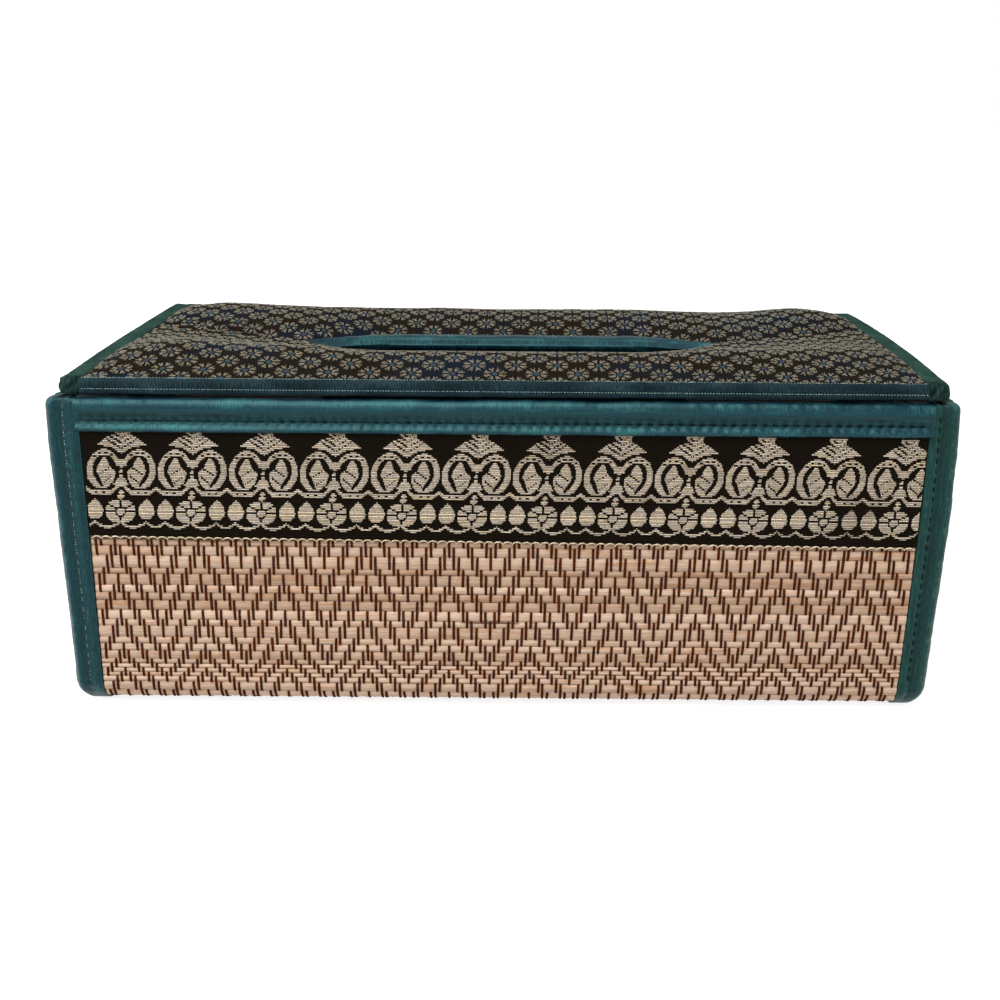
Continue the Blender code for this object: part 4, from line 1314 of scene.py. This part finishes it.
def build_lid_board(paint):
    """The lid's board, cut away round the slot where the cover dips."""
    count = 120
    low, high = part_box("lid_board")
    half_x, half_y = SLOT_HALF_LENGTH + SLOT_LIP, SLOT_HALF_WIDTH + SLOT_LIP
    inner = rounded_outline(half_x, half_y, SLOT_CORNER_RADIUS, count)
    outer = rounded_outline(high.x - 0.2 * MM, high.y - 1.6 * MM, 2 * MM, count)
    plan = np.stack([inner, outer, outer, inner], axis=1)
    shape = Shape()
    shape.add_ring(stack(plan[..., 0], plan[..., 1], np.array([high.z, high.z, low.z, low.z])))
    shape.piece("lid_pasteboard", paint["card"], "card_board", "lid", ("lid_board",))


def lid_fold(x, y):
    """Ripples across the valley between the slot's left end and the side, where the cloth is slack."""
    start = -(SLOT_HALF_LENGTH + SLOT_LIP)
    along = np.clip((start - x) / (LID_FACE_HALF + start), 0, 1)
    across = bell(y - 1.0 * MM, 7 * MM)
    ripples = np.sin(TURN * (y - 0.16 * x) / (5.2 * MM) + 1.5 * noise(x, y, (15 * MM, 15 * MM), 7))
    return 0.45 * MM * across * np.sin(math.pi * along) ** 0.6 * ripples


def cloth_lengths():
    """Places in depth across the lid and how far each lies along its cloth, from the front edge."""
    depths = steps(-COVER_HALF_DEPTH, COVER_HALF_DEPTH, 0.1 * MM)
    climbs = np.diff(lid_height(0 * depths, depths))
    return depths, np.concatenate(([0], np.cumsum(np.hypot(np.diff(depths), climbs))))


def build_pad(paint):
    """The flowered cloth over its padding, as one closed, crowned form with the slot through it."""
    count = 900
    edge = LID_FOLD + 0.2 * MM
    half_x, half_y = SLOT_HALF_LENGTH + edge, SLOT_HALF_WIDTH + edge
    inner = rounded_outline(half_x, half_y, SLOT_CORNER_RADIUS + edge, count)
    outer = rounded_outline(LID_FACE_HALF, COVER_HALF_DEPTH, LID_FRONT_LAP, count)
    shares = np.interp(np.linspace(0, 1, 68), (0, 0.21, 0.82, 1), (0, 0.16, 0.88, 1))
    inner[:, 1] *= slot_share(inner[:, 0])
    plan = inner[:, None] + (outer - inner)[:, None] * shares[:, None]
    top = LID_SURFACE.at(plan[..., 0], plan[..., 1])
    base_outer = slump(stack(outer[:, 0], outer[:, 1], LID_BOARD_TOP + 0.3 * MM))[:, None]
    base_inner = stack(inner[:, 0], inner[:, 1], LID_BASE + 0.8 * MM)[:, None]
    shape = Shape()
    shape.add_ring(np.concatenate([top, base_outer, base_inner], axis=1))
    pad = shape.piece("lid_pad", paint["field"], "flower_brocade", "lid", ("lid_cover", "lid_padding"))


def flower_masks(u, v):
    """Petals and eye of one flower, at places in millimetres from its middle."""
    radius = np.hypot(u, v)
    angle = np.arctan2(v, u)
    turn = (angle / TURN * 8) % 1 - 0.5
    across = np.abs(turn) * TURN / 8 * radius
    blade = (radius > 1.3) & (radius < 3.2) & (across < 0.2 + 0.24 * (radius - 1.1))
    cleft = (radius > 2.5) & (across < 0.27 * (radius - 2.1))
    return blade & ~cleft, radius < 0.8


def flower_rows(u, v):
    """The masks at each place, from its own row of flowers and from the two beside it."""
    petals = np.zeros(u.shape, bool)
    eyes = np.zeros(u.shape, bool)
    row = np.round((v - FLOWER_START[1]) / FLOWER_ROW)
    for step in (-1, 0, 1):
        near = row + step
        shift = (near % 2) * FLOWER_REPEAT / 2
        across = (u - FLOWER_START[0] - shift + FLOWER_REPEAT / 2) % FLOWER_REPEAT - FLOWER_REPEAT / 2
        up = v - FLOWER_START[1] - near * FLOWER_ROW
        petal, eye = flower_masks(across / MM, up / MM)
        petals |= petal
        eyes |= eye
    return petals & ~eyes, eyes


def outside_slot(u, v):
    """True where a place lies clear of the satin round the slot, which is wide on the far side only."""
    inner_x = SLOT_HALF_LENGTH - SLOT_CORNER_RADIUS
    inner_y = SLOT_HALF_WIDTH - SLOT_CORNER_RADIUS
    past_x = np.maximum(np.abs(u) - inner_x, 0)
    past_y = np.maximum(np.abs(v) / slot_share(u) - inner_y, 0)
    distance = np.hypot(past_x, past_y)
    far = np.clip(past_y / np.maximum(distance, MM), 0, 1) ** 0.5 * (v > 0)
    return distance > SLOT_CORNER_RADIUS + NEAR_LIP + far * (SLOT_LIP - NEAR_LIP) - 0.2 * MM


def anywhere(u, v):
    """True at every place."""
    return np.full(u.shape, True)


def add_flowers(petals, eyes, surface, half, rows, cloth_rows, keep, seed):
    """Flowers as runs of weft on a surface's rows, each of which has its own place along the cloth."""
    cells = np.arange(-half, half, WEFT_CELL)
    v, u = np.meshgrid(rows, cells + WEFT_CELL / 2, indexing="ij")
    x = surface.at(u, v)[..., 0]
    cloth_v = cloth_rows[:, None] - FLOWER_SKEW * np.clip(-x - FLOWER_SKEW_START, 0, None)
    inside = keep(u, v)
    random = np.random.default_rng(seed)
    for shape, mask in zip((petals, eyes), flower_rows(x, cloth_v)):
        row, _, start, end = weft_runs(mask & inside, cells, 0.05, random)
        shade = random.uniform(0, 1, len(row))
        add_weft(shape, surface, start, end, rows[row], FLOWER_RISE, FLOWER_WEFT * 0.96, shade, 0.03 * MM)


def build_lid_flowers(paint):
    """The flowers on the lid, woven on even rows along its cloth."""
    petals, eyes = Shape(), Shape()
    edge = 0.4 * MM
    depths, lengths = cloth_lengths()
    cloth_rows = np.arange(edge, lengths[-1], FLOWER_WEFT)
    rows = np.interp(cloth_rows, lengths, depths)
    add_flowers(petals, eyes, LID_SURFACE, LID_FACE_HALF - edge, rows, cloth_rows, outside_slot, 81)
    petals.piece("lid_flower_petals", paint["petal"], "flower_brocade", "lid")
    eyes.piece("lid_flower_eyes", paint["eye"], "flower_brocade", "lid")


def build_lid_front(paint):
    """Matt ribbon round the lid's front edge, whipped along its top and stitched near its foot."""
    section = lid_edge_trace(LID_TOP, LID_FRONT_LAP + 0.4 * MM, LID_UNDER_LAP)
    surface = Surface(lambda u, v: stack(u, -HALF_DEPTH + section(v)[0], section(v)[1]))
    foot = np.interp(LID_BASE + LID_FOLD, section.stops[:, 1], section.lengths)
    seam = foot + 0.5 * MM
    half = LID_FACE_HALF + 0.6 * MM
    stops = [(section.low, 0.0), (foot - 0.5 * MM, 0.35 * MM), *rises(seam, (0, 0.12), (0.5, 0.3))]
    stops += rises(section.high, (-2.2, 0.2), (-1, 0.45), (0, 0.1))
    v = steps(section.low, section.high, 0.25 * MM)
    shape = cloth(surface, steps(-half, half, 0.5 * MM), v, satin_lift(stops, (), 91, 0.08 * MM), 0.5 * MM)
    shape.piece("lid_front_ribbon", paint["slate"], "slate_satin", "lid", ("lid_front_binding",))
    thread = Shape()
    add_stitches(thread, surface, seam, -half, half, FINE_STITCH, 0.2 * MM, 92)
    add_whipping(thread, surface, section.high - 0.5 * MM, half)
    thread.piece("lid_front_stitching", paint["fine_thread"], "slate_satin", "lid")


def add_whipping(shape, surface, v, half):
    """Short slanted stitches close together, over the edge between ribbon and cloth."""
    middles = np.arange(-half + 0.5 * MM, half - 0.5 * MM, 0.85 * MM)[:, None, None]
    random = np.random.default_rng(93)
    shares = np.linspace(-1, 1, 5)[:, None]
    bow = bowed(shares)
    radius = 0.15 * MM * (0.4 + 0.6 * bow)
    length = random.uniform(0.35, 0.85, middles.shape) * MM
    u = middles + 0.25 * MM * shares + radius * np.cos(SIX_WAYS)
    lift = 0.35 * MM + 0.2 * MM * (bow - 1) + radius * np.sin(SIX_WAYS)
    shape.lay_on(surface, u, v + length * shares, lift, random.uniform(0, 1, middles.shape))


def build_lid_sides(paint):
    """Satin along each end of the lid, drawn into folds where it goes round the front corner."""
    section = lid_edge_trace(LID_TOP, LID_SIDE_LAP, LID_BINDING_WIDTH)
    top_start = np.interp(LID_TOP, section.stops[:, 1], section.lengths)
    stops = [*rises(section.low, (0, 0), (3, 0.3)), (section.high, 0.0)]
    stops += rises(top_start, (-1.5, 0.2), (0.5, 0.75), (2.6, 0.7))
    for name, side, seed in (("left", -1, 101), ("right", 1, 102)):
        plan = lid_side_plan(side)
        corner = plan.high if side < 0 else plan.low
        even_lift = satin_lift(stops, (), seed, 0.09 * MM)

        def lift(u, v, even_lift=even_lift, corner=corner, seed=seed):
            near = bell(u - corner, 8 * MM)
            folds = near * 0.8 * MM * noise(u - 0.9 * v, v, (1.2 * MM, 6 * MM), seed + 3)
            return even_lift(u, v) * (1 + 0.5 * near) + folds

        # Painted shade: the satin is darkened in the folds round the front corner.
        def shade(u, v, corner=corner):
            return 0.6 * bell(u - corner, 7 * MM)

        u = steps(plan.low, plan.high, 0.5 * MM)
        v = steps(section.low, section.high, 0.3 * MM)
        shape = cloth(plan_surface(plan, section), u, v, lift, 0.5 * MM, shade=shade)
        shape.piece(f"lid_{name}_satin", paint["lid_green"], "green_satin", "lid", (f"lid_{name}_binding",))


def slot_plan():
    """Round the slot, clockwise from above, as (x, y, away x, away y, reach), with a narrow near lip."""
    inner_x = SLOT_HALF_LENGTH - SLOT_CORNER_RADIUS
    inner_y = SLOT_HALF_WIDTH - SLOT_CORNER_RADIUS
    stops = [(SLOT_HALF_LENGTH, 0, 1, 0, NEAR_LIP)]
    for sign_x, sign_y, start in ((1, -1, 0), (-1, -1, 270), (-1, 1, 180), (1, 1, 90)):
        for angle in np.radians(np.linspace(start, start - 90, 13)):
            direction = (math.cos(angle), math.sin(angle))
            x = sign_x * inner_x + SLOT_CORNER_RADIUS * direction[0]
            y = sign_y * inner_y + SLOT_CORNER_RADIUS * direction[1]
            far = max(sign_y * abs(direction[1]), 0) ** 0.5
            stops.append((x, y, *direction, NEAR_LIP + far * (SLOT_LIP - NEAR_LIP)))
    return Trace([*stops, stops[0]])


def build_slot(paint):
    """Satin through the slot, rolled over its edge and drawn into folds by the sewing."""
    top = SLOT_TOP - 1.3 * MM
    section = lid_edge_trace(top, SLOT_LIP, SLOT_LIP)
    plan = slot_plan()
    shoulder = np.interp(top - LID_FOLD, section.stops[:, 1], section.lengths)

    def at(u, v):
        x, y, away_x, away_y, reach = plan(u)
        depth, z = section(v)
        lap = LID_FOLD + (depth - LID_FOLD) * (reach - LID_FOLD) / (SLOT_LIP - LID_FOLD)
        depth = np.where(v > shoulder, lap, depth)
        narrow = part(reach, SLOT_LIP, NEAR_LIP) * near_drop_share(x)
        x, y = x + away_x * depth, y + away_y * depth
        drawn = (1 - slot_share(x)) * np.clip((z - LID_BASE) / (1.2 * MM), 0, 1)
        return stack(x, y * (1 - drawn), z - NEAR_DROP * narrow * part(z, LID_BASE, top))

    def looped(u, v, sizes, seed):
        share = u / plan.high
        return noise(u, v, sizes, seed) * (1 - share) + noise(u - plan.high, v, sizes, seed) * share

    def lift(u, v):
        x, y = plan(u)[:2]
        far = np.clip(y / SLOT_HALF_WIDTH, 0, 1)
        far = far * np.clip((FAR_ROLL_END - np.abs(x)) / FAR_ROLL_FADE, 0, 1) ** 0.7
        crown = 0.3 * MM * roll(v, shoulder - 2.6 * MM, section.high - 1.0 * MM)
        crown += FAR_ROLL * far * bell(v - shoulder + 1.5 * MM, 1.4 * MM)
        folds = 0.3 * MM * looped(u - 0.5 * v, v, (3.4 * MM, 8 * MM), 111)
        swells = 0.35 * MM * looped(u, v, (13 * MM, 9 * MM), 112)
        under = np.clip((v - section.low) / (3 * MM), 0.1, 1)
        return crown + (folds + swells) * under * np.clip((section.high - v) / MM, 0, 1)

    u = np.linspace(plan.low, plan.high, 620, endpoint=False)
    v = steps(section.low, section.high, 0.25 * MM)
    shape = cloth(Surface(at), u, v, lift, 0.5 * MM, loop=True)
    shape.piece("slot_satin", paint["teal"], "teal_satin", "lid", ("slot_binding",))


def build_lid_lining(paint):
    """Lining cloth under the lid's board, cut out round the slot."""
    count = 360
    low = HALF_DEPTH - LID_UNDER_LAP - 0.3 * MM
    high = LID_BACK - 0.5 * MM
    half_y = (high + low) / 2
    reach = SLOT_LIP - 1 * MM
    half_slot = (SLOT_HALF_LENGTH + reach, SLOT_HALF_WIDTH + reach)
    inner = rounded_outline(*half_slot, SLOT_CORNER_RADIUS + reach, count)
    outer = rounded_outline(LID_FACE_HALF + 1.5 * MM, half_y, 2 * MM, count) + (0, (high - low) / 2)
    shares = np.linspace(0, 1, 24)[:, None, None]
    x, y = (inner + (outer - inner) * shares).T
    face = stack(x, y, LID_BASE + 0.1 * MM + 0.08 * MM * noise(x, y, (15 * MM, 12 * MM), 121))
    shape = Shape()
    shape.add_ring(both_sides(face, stack(x, y, LID_BASE + RIBBON))[0])
    piece = shape.piece("lid_lining_cloth", paint["lining"], "lining_cloth", "lid", ("lid_lining",))


def build_hinge(paint):
    """The lid's cloth over the back edge and down the back wall, flowers and all."""
    stops = [(HALF_DEPTH, RIM_BASE)]
    stops += arc((HALF_DEPTH - LID_FOLD, LID_TOP - LID_FOLD), LID_FOLD, 0, 90)
    stops += [(COVER_HALF_DEPTH + 0.2 * MM, LID_TOP)]
    trace = Trace(stops, RIM_BASE)

    def at(u, v):
        y, z = trace(v)
        return slump(stack(-u, y, z))

    def lift(u, v):
        dip = -0.25 * MM * bell(v - HINGE_HEIGHT, 0.9 * MM)
        hem = 0.25 * MM * roll(v, trace.low, trace.low + 3 * MM)
        return 0.05 * MM + dip + hem + 0.08 * MM * noise(u, v, (12 * MM, 9 * MM), 131)

    surface = Surface(at)
    lifted = Surface(lambda u, v: surface.raised(u, v, lift(u, v)))
    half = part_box("hinge_fabric")[1].x
    v = steps(trace.low, trace.high, 0.35 * MM)
    sheet = cloth(surface, steps(-half, half, 1.5 * MM), v, lift, 0.5 * MM)
    petals, eyes, thread = Shape(), Shape(), Shape()
    edge = 0.4 * MM
    rows = np.arange(trace.low + edge, trace.high - edge, FLOWER_WEFT)
    cloth_rows = cloth_lengths()[1][-1] + trace.high - rows
    add_flowers(petals, eyes, lifted, half - edge, rows, cloth_rows, anywhere, 132)
    add_stitches(thread, surface, trace.low + 3 * MM, -half, half, WIDE_STITCH, 0.3 * MM, 133)
    pieces = []
    for shape, name, paint_name, nodes in (
        (sheet, "hinge_cloth", "field", ("hinge_fabric",)),
        (petals, "hinge_flower_petals", "petal", ()),
        (eyes, "hinge_flower_eyes", "eye", ()),
        (thread, "hinge_stitching", "deep_thread", ()),
    ):
        pieces.append(shape.piece(name, paint[paint_name], "flower_brocade", None, nodes))
        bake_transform(pieces[-1])


# Camera, lamps and floor

def build_camera():
    """Looks along +Y from the front, tilted down and slightly rolled."""
    data = bpy.data.cameras.new("camera")
    data.sensor_width = 36
    data.lens = CAMERA_LENS
    data.shift_x = CAMERA_SHIFT
    camera = bpy.data.objects.new("camera", data)
    bpy.context.scene.collection.objects.link(camera)
    ahead = Vector((0, math.cos(CAMERA_PITCH), -math.sin(CAMERA_PITCH)))
    right = Vector((1, 0, 0))
    up = right.cross(ahead)
    turned_right = math.cos(CAMERA_ROLL) * right + math.sin(CAMERA_ROLL) * up
    turned_up = -math.sin(CAMERA_ROLL) * right + math.cos(CAMERA_ROLL) * up
    camera.matrix_world = Matrix((turned_right, turned_up, -ahead)).transposed().to_4x4()
    camera.location = CAMERA_PLACE
    bpy.context.scene.camera = camera


def build_lamps():
    """Square lamps, all turned to the middle of the case."""
    for name, place, size, power in LAMPS:
        data = bpy.data.lights.new(name, "AREA")
        data.shape = "SQUARE"
        data.size = size
        data.energy = power
        lamp = bpy.data.objects.new(name, data)
        bpy.context.scene.collection.objects.link(lamp)
        lamp.location = place
        lamp.rotation_euler = (LAMP_TARGET - Vector(place)).to_track_quat("-Z", "Y").to_euler()


def build_world():
    """White where it is seen, and dimmer as the light that falls on things."""
    world = bpy.data.worlds.new("studio")
    world.use_nodes = True
    bpy.context.scene.world = world
    sky = Nodes(world.node_tree)
    strength = sky.node("ShaderNodeMapRange", {0: sky.seen_directly(), 3: SKY_LIGHT, 4: 1.0}).outputs[0]
    sky.feed(sky.tree.nodes["Background"], {"Color": (1, 1, 1, 1), "Strength": strength})


def build_floor():
    """A white floor: it glows only where it is seen, so it casts little light on the case."""
    mesh = bpy.data.meshes.new("floor")
    corners = [(x * FLOOR_REACH, y * FLOOR_REACH, 0) for x, y in ((-1, -1), (1, -1), (1, 1), (-1, 1))]
    mesh.from_pydata(corners, [], [(0, 1, 2, 3)])
    floor = bpy.data.objects.new("floor", mesh)
    bpy.context.scene.collection.objects.link(floor)
    paint = Paint("white_floor", 1.0)
    glow = paint.maths("MULTIPLY", paint.seen_directly(), FLOOR_GLOW)
    looks = {"Base Color": (*FLOOR_COLOUR, 1), "Emission Color": (1, 1, 1, 1), "Emission Strength": glow}
    paint.feed(paint.shader, looks)
    mesh.materials.append(paint.material)


def build():
    """The whole scene."""
    bpy.context.scene.view_settings.view_transform = "Standard"
    build_camera()
    build_world()
    build_floor()
    build_lamps()
    paint = make_materials()
    for build_part in (
        build_boards, build_mats, build_splinter, build_bands, build_rims, build_back_facing, build_edges,
        build_linings, build_tapes, build_lid_board, build_pad, build_lid_flowers, build_lid_front,
        build_lid_sides, build_slot, build_lid_lining, build_hinge,
    ):
        build_part(paint)


build()
